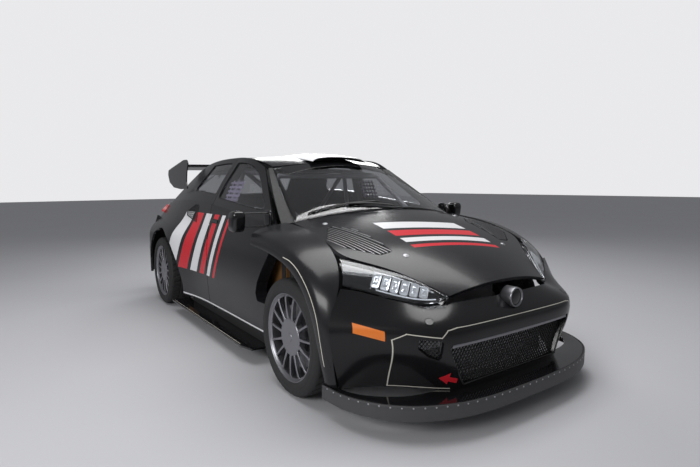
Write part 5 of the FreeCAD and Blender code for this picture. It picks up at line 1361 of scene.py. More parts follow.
@dataclass
class Nose:
    """The front of the car: grille, ducts, round pod, lamps and splitter.

    A place's x is counted from the front axle. Profiles are (radius, along the axis) or
    (forwards, height), the lamps' places are shares of the lens, and a strip is (share,
    depth, radius, slot).
    """

    mouth_gap: float = 0.002
    mesh_pitch: float = 0.017
    mesh_width: float = 0.0030
    mesh_depth: float = 0.006
    mesh_ahead: float = 0.786
    mesh_bow: float = 0.030
    bow_half: float = 0.5
    duct_pitch: float = 0.012
    duct_width: float = 0.0024
    duct_depth: float = 0.004
    duct_ahead: float = 0.755
    duct_rake: float = 0.72
    duct_start: float = 0.51
    bead_radius: float = 0.0045
    bead_ahead: float = 0.800
    bead_bow: float = 0.022
    bar_half: float = 0.462
    bar_ahead: float = 0.8145
    bar_bow: float = 0.020
    bar_section: Pairs = ((0.0, 0.393), (0.003, 0.397), (0.003, 0.409), (0.0, 0.413),
                          (-0.020, 0.413), (-0.020, 0.393))
    pod_place: Spot = (0.740, 0.0, 0.575)
    pod_bezel: Pairs = ((0.0, 0.0), (0.052, 0.0), (0.052, 0.058), (0.0505, 0.064),
                        (0.047, 0.066), (0.044, 0.063), (0.0435, 0.056), (0.0, 0.056))
    pod_disc: Pairs = ((0.0, 0.054), (0.0433, 0.054), (0.0433, 0.0575), (0.036, 0.0605),
                       (0.020, 0.0622), (0.0, 0.0628))
    band_top: float = 0.172
    band_foot: float = 0.100
    band_wall: float = 0.010
    band_edge: float = 0.002
    groove_top: float = 0.013
    groove_depth: float = 0.0015
    tray_wall: float = 0.012
    tray_gap: float = 0.0006
    tray_edge: float = 0.001
    tray_halves: Row = (0.5, 0.80, 0.90)
    tray_reaches: Row = (0.17, 0.09, 0.035)
    bolt_stand: float = 0.0030
    bolt_start: float = 0.030
    bolt_pitch: float = 0.052
    bolt_low: float = 0.008
    bolt_head: Pairs = ((0.0, 0.0), (0.0042, 0.0), (0.0042, 0.6), (0.0032, 0.95), (0.0, 1.0))
    lamp_wall: float = 0.026
    lamp_edge: float = 0.002
    crystal_stations: Row = (0.30, 0.41, 0.52, 0.63, 0.73, 0.82)
    crystal_height: float = 0.36
    crystal_width: float = 0.44
    crystal_steps: Pairs = ((0.024, 0.90), (0.016, 1.0), (0.012, 0.92), (0.016, 0.55),
                            (0.010, 0.30), (0.012, 0.08))
    crystal_ring: Pairs = ((-1, -0.8), (-0.7, -1), (0.7, -1), (1, -0.8), (1, 0.8), (0.7, 1),
                           (-0.7, 1), (-1, 0.8))
    strip_ends: Pair = (0.30, 0.92)
    strips: tuple[Row, ...] = ((0.86, 0.016, 0.0035, 1), (0.12, 0.018, 0.0025, 0))

    def build(self) -> None:
        """All the pieces."""
        self.grille()
        self.mouth_rim()
        self.pod()
        self.splitter()
        for side in Side:
            self.headlamp(side)

    def across(self, ahead: float, bow: float, ys: Array) -> Array:
        """The x of a line across the nose, which falls back with the square of y."""
        return FRONT_AXLE + ahead - bow * (ys / self.bow_half) ** 2

    def mouth_place(self, spots: Array) -> Array:
        """Places of the mouth's mesh, upright and bowed back to the sides."""
        return np.column_stack([self.across(self.mesh_ahead, self.mesh_bow, spots[:, 0]), spots])

    def duct_place(self, spots: Array) -> Array:
        """Places of a duct's mesh, which falls back evenly with the distance from the middle."""
        back = self.duct_rake * (np.abs(spots[:, 0]) - self.duct_start)
        return np.column_stack([FRONT_AXLE + self.duct_ahead - back, spots])

    def grille(self) -> None:
        """The mesh of the mouth and of the two ducts."""
        bundle = Bundle()
        lattice(bundle, mouth_ring(self.mouth_gap), self.mesh_pitch, self.mesh_width,
                self.mesh_depth, self.mouth_place)
        for side in Side:
            lattice(bundle, front_places(DUCT_SHARES, side.sign), self.duct_pitch,
                    self.duct_width, self.duct_depth, self.duct_place)
        made = bundle.make("grille_lattice", False)
        settle(made, "chassis", ["front_grille"], (TRIM,))

    def mouth_rim(self) -> None:
        """The beading round the mouth and the bar across it."""
        bundle = Bundle()
        ring = mouth_ring(self.mouth_gap)
        path = np.column_stack([self.across(self.bead_ahead, self.bead_bow, ring[:, 0]), ring])
        for start, end in zip(path, np.roll(path, -1, axis=0)):
            line = start + (end - start) * np.linspace(0, 1, 12)[:, None]
            bundle.tube(line, self.bead_radius, 8)
        ys = np.linspace(-self.bar_half, self.bar_half, 41)
        front = self.across(self.bar_ahead, self.bar_bow, ys)
        rows = [np.stack([front + ahead, ys, np.full(len(ys), z)], axis=1)
                for ahead, z in self.bar_section]
        bundle.bar(np.stack(rows, axis=1), 1)
        made = bundle.make("mouth_rim")
        soften(made, 0, angle=35)
        settle(made, "chassis", (), (TRIM, RIM))

    def pod(self) -> None:
        """The round pod in the nose: a turned bezel round a plain domed disc."""
        bundle = Bundle()
        start = np.array(self.pod_place) + [FRONT_AXLE, 0, 0]
        for slot, profile in enumerate((self.pod_bezel, self.pod_disc)):
            bundle.round(start, (1, 0, 0), profile, 64, slot)
        made = bundle.make("badge_pod")
        soften(made, 0, angle=40)
        settle(made, "chassis", (), (RIM, GLOSS))

    def splitter(self) -> None:
        """A thin tray over a hanging rubber band with a row of bolts."""
        half = top_places(SPLITTER_SHARES)
        line = through(np.concatenate([half[::-1], half[1:] * [1, -1]]), 10)
        way = np.gradient(line, axis=0)
        way /= np.linalg.norm(way, axis=1, keepdims=True)
        out = np.column_stack([way[:, 1], -way[:, 0]])
        out *= np.sign(out[len(out) // 2, 0])
        line = line - out * self.bolt_stand

        def sections(pairs: Sequence) -> Array:
            """For each place of the line, corners so far inwards and so high."""
            return np.stack([np.column_stack([
                line - out * np.broadcast_to(inward, len(line))[:, None],
                np.full(len(line), z)]) for inward, z in pairs], axis=1)
        top, foot, wall, edge = self.band_top, self.band_foot, self.band_wall, self.band_edge
        groove, deep = top - self.groove_top, self.groove_depth
        bundle = Bundle()
        bundle.bar(sections(((0.0, foot + edge), (0.0, groove - deep * 2), (deep, groove - deep),
                             (0.0, groove), (0.0, top - edge), (edge, top), (wall, top),
                             (wall, foot), (edge, foot))), 0)
        near = wall + self.tray_gap
        reach = np.interp(np.abs(line[:, 1]), self.tray_halves, self.tray_reaches)
        bundle.bar(sections(((near, top - self.tray_wall), (near, top - self.tray_edge),
                             (wall + edge, top), (reach, top), (reach, top - self.tray_wall))),
                   1)
        self.bolts(bundle, line, out)
        made = bundle.make("splitter_dress")
        soften(made, 0, angle=35)
        settle(made, "chassis", ["front_splitter"], (BAND, GLOSS, STEEL))

    def bolts(self, bundle: Bundle, line: Array, out: Array) -> None:
        """The row of bolts along the band, one pitch apart."""
        along = np.concatenate([[0], np.cumsum(np.linalg.norm(np.diff(line, axis=0), axis=1))])
        head = [(radius, share * self.bolt_stand) for radius, share in self.bolt_head]
        for stop in np.arange(self.bolt_start, along[-1], self.bolt_pitch):
            x, y = (np.interp(stop, along, line[:, k]) for k in (0, 1))
            aim = np.array([np.interp(stop, along, out[:, 0]), np.interp(stop, along, out[:, 1]),
                            0])
            place = np.array([x, y, self.band_top - self.bolt_low])
            bundle.round(place - aim * 0.001, aim, head, 10, 2)

    def headlamp(self, side: Side) -> None:
        """A lamp: a black tray, a row of stepped crystals and two strips."""
        skin, inside = lamp_skin(side), places(LAMP_INSIDE, side.sign)
        tray = Panel("lamp_tray_" + side.word, skin.net, inside, self.lamp_wall, pitch=0.010,
                     edge=self.lamp_edge, depth=self.lamp_wall).build()
        settle(tray, "chassis", ["headlamps"], (GLOSS, TRIM))
        bundle = Bundle()
        self.crystals(bundle, skin, inside)
        v = np.linspace(*self.strip_ends, 40)
        for share, depth, radius, slot in self.strips:
            u = np.full(len(v), share)
            bundle.tube(skin.at(u, v) - skin.out(u, v, inside) * depth, radius, 8, slot)
        made = bundle.make("lamp_parts_" + side.word, False)
        settle(made, "chassis", (), (CRYSTAL, STRIP))

    def crystals(self, bundle: Bundle, skin: Skin, inside: Array) -> None:
        """Stepped eight-sided crystals along the middle of the lens."""
        v = np.array(self.crystal_stations)
        u = np.full(len(v), 0.5)
        spots, outs = skin.at(u, v), skin.out(u, v, inside)
        along = skin.at(u, v + 0.01) - skin.at(u, v - 0.01)
        along /= np.linalg.norm(along, axis=1, keepdims=True)
        talls = np.linalg.norm(skin.at(np.full(len(v), 0.9), v) -
                               skin.at(np.full(len(v), 0.1), v), axis=1) * self.crystal_height
        wides = np.linalg.norm(np.gradient(spots, axis=0), axis=1) * self.crystal_width
        for spot, out, way, tall, wide in zip(spots, outs, along, talls, wides):
            across = np.cross(out, way)
            rows = [[spot - out * depth + way * a * wide * grow + across * b * tall * grow
                     for a, b in self.crystal_ring] for depth, grow in self.crystal_steps]
            bundle.bar(np.array(rows), 0)


@dataclass
class Fittings:
    """The small pieces of the outside.

    A place's x is counted from the front axle, and a mirror's y from the middle outwards.
    Profiles are (radius, along the axis), and a ribbon is (width, low, high) over its skin.
    """

    mirror_low: Spot = (-0.590, 0.918, 0.866)
    mirror_high: Spot = (-0.486, 1.005, 1.000)
    mirror_glass_low: Spot = (-0.5935, 0.930, 0.880)
    mirror_glass_high: Spot = (-0.588, 0.993, 0.988)
    mirror_lean: float = 0.12
    mirror_power: float = 4.0
    foot_ends: Pair = (-0.535, -0.440)
    foot_levels: Pair = (0.885, 1.002)
    foot_sunk: float = 0.004
    foot_wall: float = 0.016
    foot_spot: Pairs = ((-0.490, 0.930),)
    blade_levels: Pair = (0.900, 0.984)
    blade_wall: float = 0.011
    blade_chord: float = 0.056
    blade_start: float = -0.488
    blade_root: float = 0.010
    blade_tip: float = 0.932
    blade_sweep: float = 0.040
    blade_taper: float = 0.12
    recess: Pairs = ((-1.470, 0.896), (-1.310, 0.892), (-1.310, 0.858), (-1.470, 0.862))
    recess_wall: float = 0.0010
    flap: Pairs = ((-1.460, 0.880), (-1.325, 0.876))
    flap_ribbon: Spot = (0.020, 0.0012, 0.0075)
    slat_pitch: float = 0.022
    slat_angle: float = 19.0
    slat_gap: float = 0.007
    slat_levels: Pair = (-0.013, 0.0010)
    slat_edge: float = 0.0022
    outlet_depth: float = 0.016
    outlet_wall: float = 0.003
    outlet_corner: float = 0.020
    outlet_gap: float = 0.0006
    # Points of the painted highlight along the flare's edge, laid on as a pale ribbon
    flare: Pairs = ((0.02, 0.775), (0.10, 0.760), (0.19, 0.715), (0.285, 0.630),
                    (0.350, 0.525), (0.378, 0.400), (0.385, 0.280))
    flare_highlight_ribbon: Spot = (0.0045, -0.0004, 0.0007)
    net_posts: Pair = (-1.42, -1.24)
    net_post_ends: Pair = (1.045, 1.215)
    net_post_lean: float = 0.025
    net_post: Spot = (0.018, -0.0570, -0.0548)
    net_rows: Pair = (1.065, 1.195)
    net_row_ends: Pair = (-1.440, -1.200)
    net_row: Spot = (0.018, -0.0546, -0.0524)
    net_count: int = 5
    intake_ring: Pairs = ((-1.830, 0.985), (-1.900, 0.995), (-2.090, 0.930), (-2.060, 0.895),
                          (-1.800, 0.850))
    intake_angle: float = 50.0
    intake_pitch: float = 0.021
    intake_wire: Spot = (0.0034, 0.0004, 0.0024)
    intake_frame: Spot = (0.007, -0.0004, 0.0034)
    skirt_ends: Pair = (-0.66, -2.20)
    skirt_section: Pairs = ((0.911, 0.1118), (0.9145, 0.1118), (0.9145, 0.1128),
                            (0.911, 0.1128))
    catch_spots: Pairs = ((0.400, -0.400), (0.400, 0.400), (-0.150, -0.560), (-0.150, 0.560))
    catch: Pairs = ((0.0, 0.0), (0.0165, 0.0), (0.0165, 0.002), (0.0145, 0.0035),
                    (0.008, 0.0038), (0.0075, 0.0062), (0.006, 0.007), (0.0, 0.007))
    sunk: float = 0.001
    plate_ring: Pairs = ((0.826, 0.512), (0.722, 0.478), (0.722, 0.432), (0.832, 0.466))
    plate_wall: float = 0.0012
    arrow_shaft: Pairs = ((-0.452, 0.222), (-0.452, 0.246), (-0.408, 0.232), (-0.408, 0.208))
    arrow_head: Pairs = ((-0.488, 0.238), (-0.486, 0.241), (-0.448, 0.266), (-0.448, 0.204))
    arrow_wall: float = 0.0016
    cover_spots: Pairs = ((-0.545, 0.520), (0.545, 0.520))
    cover: Pairs = ((0.0, 0.0), (0.022, 0.0), (0.022, 0.002), (0.0205, 0.003),
                    (0.019, 0.0022), (0.0, 0.0022))
    wiper_arm: Pairs = ((-0.262, 0.06), (-0.330, -0.28))
    wiper_arm_ribbon: Spot = (0.014, 0.010, 0.017)
    wiper_rubber: Pairs = ((-0.318, -0.02), (-0.352, -0.56))
    wiper_rubber_ribbon: Spot = (0.007, 0.0012, 0.0095)
    wiper_spine: Pairs = ((-0.320, -0.05), (-0.349, -0.53))
    wiper_spine_ribbon: Spot = (0.013, 0.0095, 0.0115)
    band_ring: Pairs = ((-0.905, -0.500), (-0.905, 0.500), (-0.800, 0.462), (-0.800, -0.462))
    band_wall: float = 0.0008

    def build(self) -> None:
        """All of them."""
        for side in Side:
            self.mirror(side)
            self.handle(side)
            self.louvres(side)
            self.paint_flare_highlight(side)
            self.window_net(side)
            self.intake(side)
            self.skirt_line(side)
        self.catches()
        self.plates()
        self.wiper()
        self.screen_band()

    def box(self, side: Side, low: Sequence[float], high: Sequence[float], rows: int,
            count: int, lean: float = 0.0) -> Array:
        """Sections of a soft box on one flank, between an inner and an outer corner."""
        near, far = sorted((side.sign * low[1], side.sign * high[1]))
        return rounded((FRONT_AXLE + low[0], near, low[2]), (FRONT_AXLE + high[0], far, high[2]),
                       self.mirror_power, rows, count, lean)

    def mirror(self, side: Side) -> None:
        """A tall rounded housing on two flat blades, and its foot on the door."""
        door_skin = Draped(Skin(trimmed(flank(DOOR_LOWER_SHARES, side.sign))), CABIN)
        spot, _ = door_skin.at(from_axle(self.foot_spot))
        foot_y = abs(spot[0, 1])
        bundle = Bundle()
        bundle.bar(self.box(side, self.mirror_low, self.mirror_high, 20, 40, self.mirror_lean))
        (back, ahead), (low, high) = self.foot_ends, self.foot_levels
        bundle.bar(self.box(side, (back, foot_y - self.foot_sunk, low),
                            (ahead, foot_y + self.foot_wall, high), 10, 32))
        for level in self.blade_levels:
            bundle.bar(self.blade(side, foot_y + self.blade_root, level))
        bundle.bar(self.box(side, self.mirror_glass_low, self.mirror_glass_high, 12, 32,
                            self.mirror_lean), 1)
        made = bundle.make("door_mirror_" + side.word)
        settle(made, "side_door_" + side.word, ["mirror_" + side.word],
               (GLOSS, CHROME))

    def blade(self, side: Side, start: float, level: float) -> Array:
        """Oval sections of a mirror's blade, which sweeps back and tapers outwards."""
        turn = np.linspace(0, 2 * np.pi, 20, endpoint=False)
        share = np.linspace(0, 1, 10)[:, None]
        x = (FRONT_AXLE + self.blade_start - self.blade_sweep * share
             + np.cos(turn) * self.blade_chord / 2 * (1 - self.blade_taper * share))
        y = side.sign * (start + (self.blade_tip - start) * share)
        z = level + np.sin(turn) * self.blade_wall / 2
        return np.stack(np.broadcast_arrays(x, y, z), axis=2)

    def handle(self, side: Side) -> None:
        """A door handle: a flap in a shallow dark recess."""
        skin = Draped(Skin(trimmed(flank(DOOR_LOWER_SHARES, side.sign))), CABIN)
        bundle = Bundle()
        skin.tile(bundle, from_axle(self.recess), self.recess_wall, 0)
        skin.ribbon(bundle, from_axle(self.flap), *self.flap_ribbon, 1)
        made = bundle.make("door_handle_" + side.word, False)
        soften(made, 0.0015, 2, 30)
        settle(made, "side_door_" + side.word, (), (TRIM, GLOSS))

    def louvres(self, side: Side) -> None:
        """An outlet of the bonnet: a sunk dark tray and its slats with pale edges."""
        net = trimmed(crossing(BONNET_SHARES))
        outline = top_places(VENT_SHARES, side.sign)
        line = opening(outline, (0, 1), self.outlet_corner, True, self.outlet_gap)
        tray = Panel("louvre_tray_" + side.word, net, ENGINE_BAY, self.outlet_wall, line,
                     pitch=0.014, edge=0.0, depth=self.outlet_depth).build()
        settle(tray, "bonnet_lid", ["bonnet_louvres"], (LOUVRE, TRIM))
        skin = Draped(Skin(net), ENGINE_BAY, (0, 1))
        bundle = Bundle()
        top = self.slat_levels[1]
        for start, end in chords(outline, -self.slat_angle * side.sign, self.slat_pitch):
            way = (end - start) / np.linalg.norm(end - start)
            ends = np.array([start + way * self.slat_gap, end - way * self.slat_gap])
            skin.ribbon(bundle, ends, self.slat_pitch / 2, *self.slat_levels, 0, 16)
            rim = ends + np.array([-way[1], way[0]]) * self.slat_pitch / 4
            skin.ribbon(bundle, rim, self.slat_edge, top, self.slat_edge, 1, 16)
        made = bundle.make("louvre_slats_" + side.word, False)
        settle(made, "bonnet_lid", (), (LOUVRE, ALLOY))

    def paint_flare_highlight(self, side: Side) -> None:
        """The pale line inside the flare's edge: a painted highlight along the flare."""
        net = trimmed(places(WING_SHARES, side.sign))
        skin = Draped(Skin(net), places(WING_INSIDE, side.sign))
        bundle = Bundle()
        # A pale ribbon painted where the highlight runs along the flare's edge
        skin.ribbon(bundle, through(from_axle(self.flare), 6), *self.flare_highlight_ribbon, 0, 60)
        made = bundle.make("flare_highlight_line_" + side.word, False)
        settle(made, "chassis", (), (PALE_PAINT,))

    def window_net(self, side: Side) -> None:
        """Straps of the net behind the door's window."""
        skin = Draped(Skin(trimmed(flank(DOOR_UPPER_SHARES, side.sign))), CABIN)
        bundle = Bundle()
        low, high = self.net_post_ends
        for k, x in enumerate(np.linspace(*self.net_posts, self.net_count)):
            skin.ribbon(bundle, from_axle(((x, low), (x + self.net_post_lean, high))),
                        *self.net_post, k % 2)
        back, ahead = self.net_row_ends
        for z in np.linspace(*self.net_rows, self.net_count):
            skin.ribbon(bundle, from_axle(((back, z), (ahead, z))), *self.net_row, 0)
        made = bundle.make("window_net_" + side.word, False)
        settle(made, "chassis", (), (NET, NET_DARK))

    def intake(self, side: Side) -> None:
        """The meshed intake over the rear wheel's arch, laid on the flank."""
        skin = Draped(Skin(trimmed(flank(QUARTER_LOWER_SHARES, side.sign))), CABIN)
        ring = from_axle(self.intake_ring)
        bundle = Bundle()
        for angle in (-self.intake_angle, self.intake_angle):
            for ends in chords(ring, angle, self.intake_pitch):
                skin.ribbon(bundle, np.array(ends), *self.intake_wire, 1, 6)
        for start, end in zip(ring, np.roll(ring, -1, axis=0)):
            skin.ribbon(bundle, np.array([start, end]), *self.intake_frame, 0, 12)
        made = bundle.make("flank_mesh_" + side.word, False)
        settle(made, "chassis", (), (TRIM, LOUVRE))

    def skirt_line(self, side: Side) -> None:
        """The pale line along the skirt's edge."""
        xs = np.linspace(*self.skirt_ends, 8) + FRONT_AXLE
        rows = [np.column_stack([xs, np.full(len(xs), side.sign * y), np.full(len(xs), z)])
                for y, z in self.skirt_section]
        bundle = Bundle()
        bundle.bar(np.stack(rows, axis=1))
        made = bundle.make("skirt_line_" + side.word, False)
        settle(made, "chassis", (), (PALE_PAINT,))

    def buttons(self, bundle: Bundle, skin: Draped, spots: Array, profile: Pairs, count: int,
                slot: int) -> None:
        """Turned pieces that stand square on a skin, a little sunk."""
        for spot, out in zip(*skin.at(spots)):
            bundle.round(spot - out * self.sunk, out, profile, count, slot)

    def catches(self) -> None:
        """Four round pin catches of the bonnet."""
        skin = Draped(Skin(trimmed(crossing(BONNET_SHARES))), ENGINE_BAY, (0, 1))
        bundle = Bundle()
        self.buttons(bundle, skin, from_axle(self.catch_spots), self.catch, 32, 0)
        made = bundle.make("bonnet_catches", False)
        soften(made, 0, angle=30)
        settle(made, "bonnet_lid", (), (STEEL,))

    def plates(self) -> None:
        """Two plain orange plates, the towing arrow and the covers of the bumper's bolts."""
        skin = Draped(Skin(bumper_net()), ENGINE_BAY, (1, 2))
        bundle = Bundle()
        for sign in (-1, 1):
            skin.tile(bundle, np.array(self.plate_ring) * [sign, 1], self.plate_wall, 0)
        for ring in (self.arrow_shaft, self.arrow_head):
            skin.tile(bundle, ring, self.arrow_wall, 1)
        self.buttons(bundle, skin, np.array(self.cover_spots), self.cover, 40, 2)
        made = bundle.make("bumper_plates", False)
        settle(made, "chassis", (), (ORANGE, BARE_RED, GLOSS))

    def wiper(self) -> None:
        """The wiper: its arm from the cowl, its rubber on the glass and the rubber's spine."""
        skin = Draped(Skin(trimmed(crossing(WINDSCREEN_SHARES))), CABIN, (0, 1))
        bundle = Bundle()
        skin.ribbon(bundle, from_axle(self.wiper_arm), *self.wiper_arm_ribbon, 0)
        skin.ribbon(bundle, from_axle(self.wiper_rubber), *self.wiper_rubber_ribbon, 1)
        skin.ribbon(bundle, from_axle(self.wiper_spine), *self.wiper_spine_ribbon, 0)
        made = bundle.make("wiper", False)
        soften(made, 0.0010, 1, 30)
        settle(made, "chassis", (), (TRIM, RUBBER))

    def screen_band(self) -> None:
        """The dark band along the upper edge of the windscreen."""
        skin = Draped(Skin(trimmed(crossing(WINDSCREEN_SHARES))), CABIN, (0, 1))
        bundle = Bundle()
        skin.tile(bundle, from_axle(self.band_ring), self.band_wall, 0, 0.0, 30)
        made = bundle.make("screen_band", True)
        soften(made, 0, angle=30)
        settle(made, "chassis", (), (GLOSS,))


def inflated(name: str, spots: Array, faces: list, cap: float, voxel: float,
             pressure: float = 4.0, frames: int = 20) -> bpy.types.Object:
    """A soft pad: remeshed, then swollen as cloth under pressure, no point past the cap.

    Args:
        name: of the finished object.
        spots: corners of the starting form.
        faces: of the starting form.
        cap: how far a point may move.
        voxel: size of the remesh.
        pressure: inside the cloth.
        frames: how long it swells.

    Returns:
        The pad, with no modifier left on it.
    """
    start = mesh_object(name + "_start", spots, faces)
    remesh = start.modifiers.new("remesh", "REMESH")
    remesh.mode = "VOXEL"
    remesh.voxel_size = voxel
    bpy.context.view_layer.update()
    graph = bpy.context.evaluated_depsgraph_get()
    mesh = bpy.data.meshes.new_from_object(start.evaluated_get(graph))
    bpy.data.objects.remove(start)
    made = bpy.data.objects.new(name, mesh)
    bpy.context.scene.collection.objects.link(made)
    rest = np.empty(len(mesh.vertices) * 3)
    mesh.vertices.foreach_get("co", rest)
    cloth = made.modifiers.new("cloth", "CLOTH")
    cloth.settings.use_pressure = True
    cloth.settings.uniform_pressure_force = pressure
    cloth.settings.effector_weights.gravity = 0
    cloth.point_cache.frame_end = frames
    for frame_number in range(1, frames + 1):
        bpy.context.scene.frame_set(frame_number)
    graph = bpy.context.evaluated_depsgraph_get()
    swollen = np.empty_like(rest)
    made.evaluated_get(graph).data.vertices.foreach_get("co", swollen)
    made.modifiers.remove(cloth)
    bpy.context.scene.frame_set(1)
    move = (swollen - rest).reshape(-1, 3)
    size = np.maximum(np.linalg.norm(move, axis=1, keepdims=True), 1e-9)
    move *= np.minimum(1.0, cap / size)
    mesh.vertices.foreach_set("co", (rest.reshape(-1, 3) + move).ravel())
    mesh.polygons.foreach_set("use_smooth", np.ones(len(mesh.polygons), bool))
    mesh.update()
    return made


@dataclass
class Cabin:
    """The two bucket seats with their pads and harnesses."""

    seat_x: float = FRONT_AXLE - 1.360
    seat_y: float = 0.330
    seat_z: float = 0.120
    half: float = 0.215
    shell_wall: float = 0.010
    pad: float = 0.030
    swell: float = 0.008
    voxel: float = 0.006
    pads: tuple = (("base", (0.05, 0.40), (0.19, 0.81)), ("back", (0.52, 0.84), (0.20, 0.80)),
                   ("head", (0.88, 0.985), (0.30, 0.70)))
    pad_foot: float = 0.002
    pad_rise: float = 0.006
    crown_share: float = 0.8
    crown_power: float = 0.45
    channel_pitch: float = 0.075
    channel_depth: float = 0.0045
    channel_half: float = 0.006
    rolled_edge: float = 0.007
    lap_place: Pair = (0.16, 0.34)
    strap_width: float = 0.048
    strap_wall: float = 0.0022
    shoulder_tracks: Pair = (0.38, 0.62)
    shoulder_run: Pair = (0.93, 0.50)
    shoulder_meet: float = 0.75
    lap_tracks: Pair = (0.14, 0.86)
    lap_row: float = 0.47
    lap_meet: float = 0.12
    buckle_place: Pair = (0.485, 0.5)
    buckle_stand: float = 0.004
    buckle: Pairs = ((0.0, 0.0), (0.030, 0.0), (0.032, 0.006), (0.030, 0.012),
                     (0.024, 0.015), (0.0, 0.016))

    def build(self) -> None:
        """Both seats."""
        for side in Side:
            skin = Skin(self.net(side.sign))
            self.shell(side, skin)
            for name, u, v in self.pads:
                self.cushion(side, skin, name, u, v)
            self.harness(side, skin)

    def net(self, sign: int) -> Array:
        """The seat's net: its profile, each row bent up at its two sides."""
        foot = np.array([self.seat_x, sign * self.seat_y, self.seat_z])
        rows = []
        for i, (along, up) in enumerate(SEAT_PROFILE_SHARES):
            lean = min(1.0, i / 4) * math.pi / 2.2
            wing = np.array([math.sin(lean), 0, math.cos(lean)])
            ahead = np.array([along, 0, up]) * self.half * 2
            rows.append([foot + ahead + np.array([0, across * self.half, 0])
                         + wing * rise * self.half for across, rise in SEAT_CROSS_SHARES])
        return np.array(rows)

    def front(self, skin: Skin, u: Array, v: Array, lift: Array) -> Array:
        """Places over the seat's inner face, each so high above it."""
        rows, cols = (grid.ravel() for grid in np.meshgrid(u, v, indexing="ij"))
        outs = -skin.out(rows, cols, self.net_middle(skin))
        spots = skin.at(rows, cols) + outs * np.asarray(lift).ravel()[:, None]
        return spots.reshape(len(u), len(v), 3)

    def net_middle(self, skin: Skin) -> Array:
        """A place where the driver's lap is, so that ways away from it leave the seat."""
        ahead, up = self.lap_place
        return np.array([self.seat_x + ahead, skin.net[0, 3, 1], self.seat_z + up])

    def shell(self, side: Side, skin: Skin) -> None:
        """The seat's shell: one bent plate with a rolled edge."""
        grid = self.front(skin, np.linspace(0, 1, 60), np.linspace(0, 1, 36), np.zeros(60 * 36))
        bundle = Bundle()
        bundle.bar(plate(grid, self.shell_wall, self.net_middle(skin)), 0)
        edge = np.concatenate([grid[:, 0], grid[-1, 1:], grid[::-1, -1][1:], grid[0, ::-1][1:]])
        bundle.tube(edge[:-1], self.rolled_edge, 10, 1)
        made = bundle.make("seat_shell_" + side.word)
        soften(made, 0, angle=50)
        settle(made, "chassis", ["seats"], (GLOSS, TRIM))

    def cushion(self, side: Side, skin: Skin, name: str, u: Pair,
                v: Pair) -> None:
        """A sewn pad on the shell: crowned, swollen, then drawn in at its channels.

        The crown is the product over both ways of (1 - |2t - 1|^4), to a power under one.
        """
        a, b = np.linspace(0, 1, 26), np.linspace(0, 1, 22)
        crown = np.outer(1 - np.abs(2 * a - 1) ** 4,
                         1 - np.abs(2 * b - 1) ** 4) ** self.crown_power
        us, vs = u[0] + (u[1] - u[0]) * a, v[0] + (v[1] - v[0]) * b
        top = self.front(skin, us, vs, self.pad_rise + self.swell
                         + self.pad * self.crown_share * crown)
        low = self.front(skin, us, vs, np.full(crown.shape, self.pad_foot + self.swell))
        rows, cols = crown.shape
        count = rows * cols
        grid = quads(rows, cols)
        ring = np.concatenate([np.arange(cols), np.arange(1, rows) * cols + cols - 1,
                               (rows - 1) * cols + np.arange(cols - 2, -1, -1),
                               np.arange(rows - 2, 0, -1) * cols])
        after = np.roll(ring, -1)
        sides = np.column_stack([ring, after, after + count, ring + count])
        faces = grid.tolist() + (grid[:, ::-1] + count).tolist() + sides[:, ::-1].tolist()
        bundle = Bundle()
        bundle.solid(np.concatenate([top.reshape(-1, 3), low.reshape(-1, 3)]), faces)
        made = inflated("seat_%s_%s" % (name, side.word), np.concatenate(bundle.spots),
                        bundle.faces, self.swell, self.voxel)
        self.channels(made, top)
        smooth = made.modifiers.new("smooth", "SUBSURF")
        smooth.levels = 1
        smooth.render_levels = 1
        settle(made, "chassis", (), (CLOTH,))

    def channels(self, made: bpy.types.Object, top: Array) -> None:
        """Sewn grooves across the pad: points near a line sink by a narrow bell curve."""
        mesh = made.data
        spots = np.empty(len(mesh.vertices) * 3)
        ways = np.empty_like(spots)
        mesh.vertices.foreach_get("co", spots)
        mesh.vertices.foreach_get("normal", ways)
        spots, ways = spots.reshape(-1, 3), ways.reshape(-1, 3)
        middle = top[:, top.shape[1] // 2]
        run = np.concatenate([[0], np.cumsum(np.linalg.norm(np.diff(middle, axis=0), axis=1))])
        gaps = spots[:, None, ::2] - middle[None, :, ::2]
        nearest = np.argmin((gaps ** 2).sum(axis=2), axis=1)
        way = np.gradient(middle, axis=0)
        way /= np.linalg.norm(way, axis=1, keepdims=True)
        along = run[nearest] + np.einsum("ij,ij->i", spots - middle[nearest], way[nearest])
        sink = np.zeros(len(spots))
        lines = max(1, round(run[-1] / self.channel_pitch))
        for stop in run[-1] * np.arange(1, lines) / lines:
            sink += self.channel_depth * np.exp(-((along - stop) / self.channel_half) ** 2)
        mesh.vertices.foreach_set("co", (spots - ways * sink[:, None]).ravel())
        mesh.update()

    def harness(self, side: Side, skin: Skin) -> None:
        """Shoulder and lap straps that meet at their round buckle."""
        bundle = Bundle()
        top = self.pad_rise * 2 + self.swell * 2 + self.pad
        middle = self.buckle_place[1]
        for v in self.shoulder_tracks:
            self.strap(bundle, skin, np.linspace(*self.shoulder_run, 30),
                       v + (middle - v) * np.linspace(0, self.shoulder_meet, 30), top)
        for v in self.lap_tracks:
            self.strap(bundle, skin, np.full(20, self.lap_row),
                       np.linspace(v, middle + (v - middle) * self.lap_meet, 20), top)
        u, v = (np.array([share]) for share in self.buckle_place)
        spot = self.front(skin, u, v, np.array([top + self.buckle_stand]))[0, 0]
        way = spot - self.front(skin, u, v, np.zeros(1))[0, 0]
        bundle.round(spot, way, self.buckle, 32, 1)
        made = bundle.make("harness_" + side.word, False)
        soften(made, 0, angle=30)
        settle(made, "chassis", (), (WEBBING, BARE_RED))

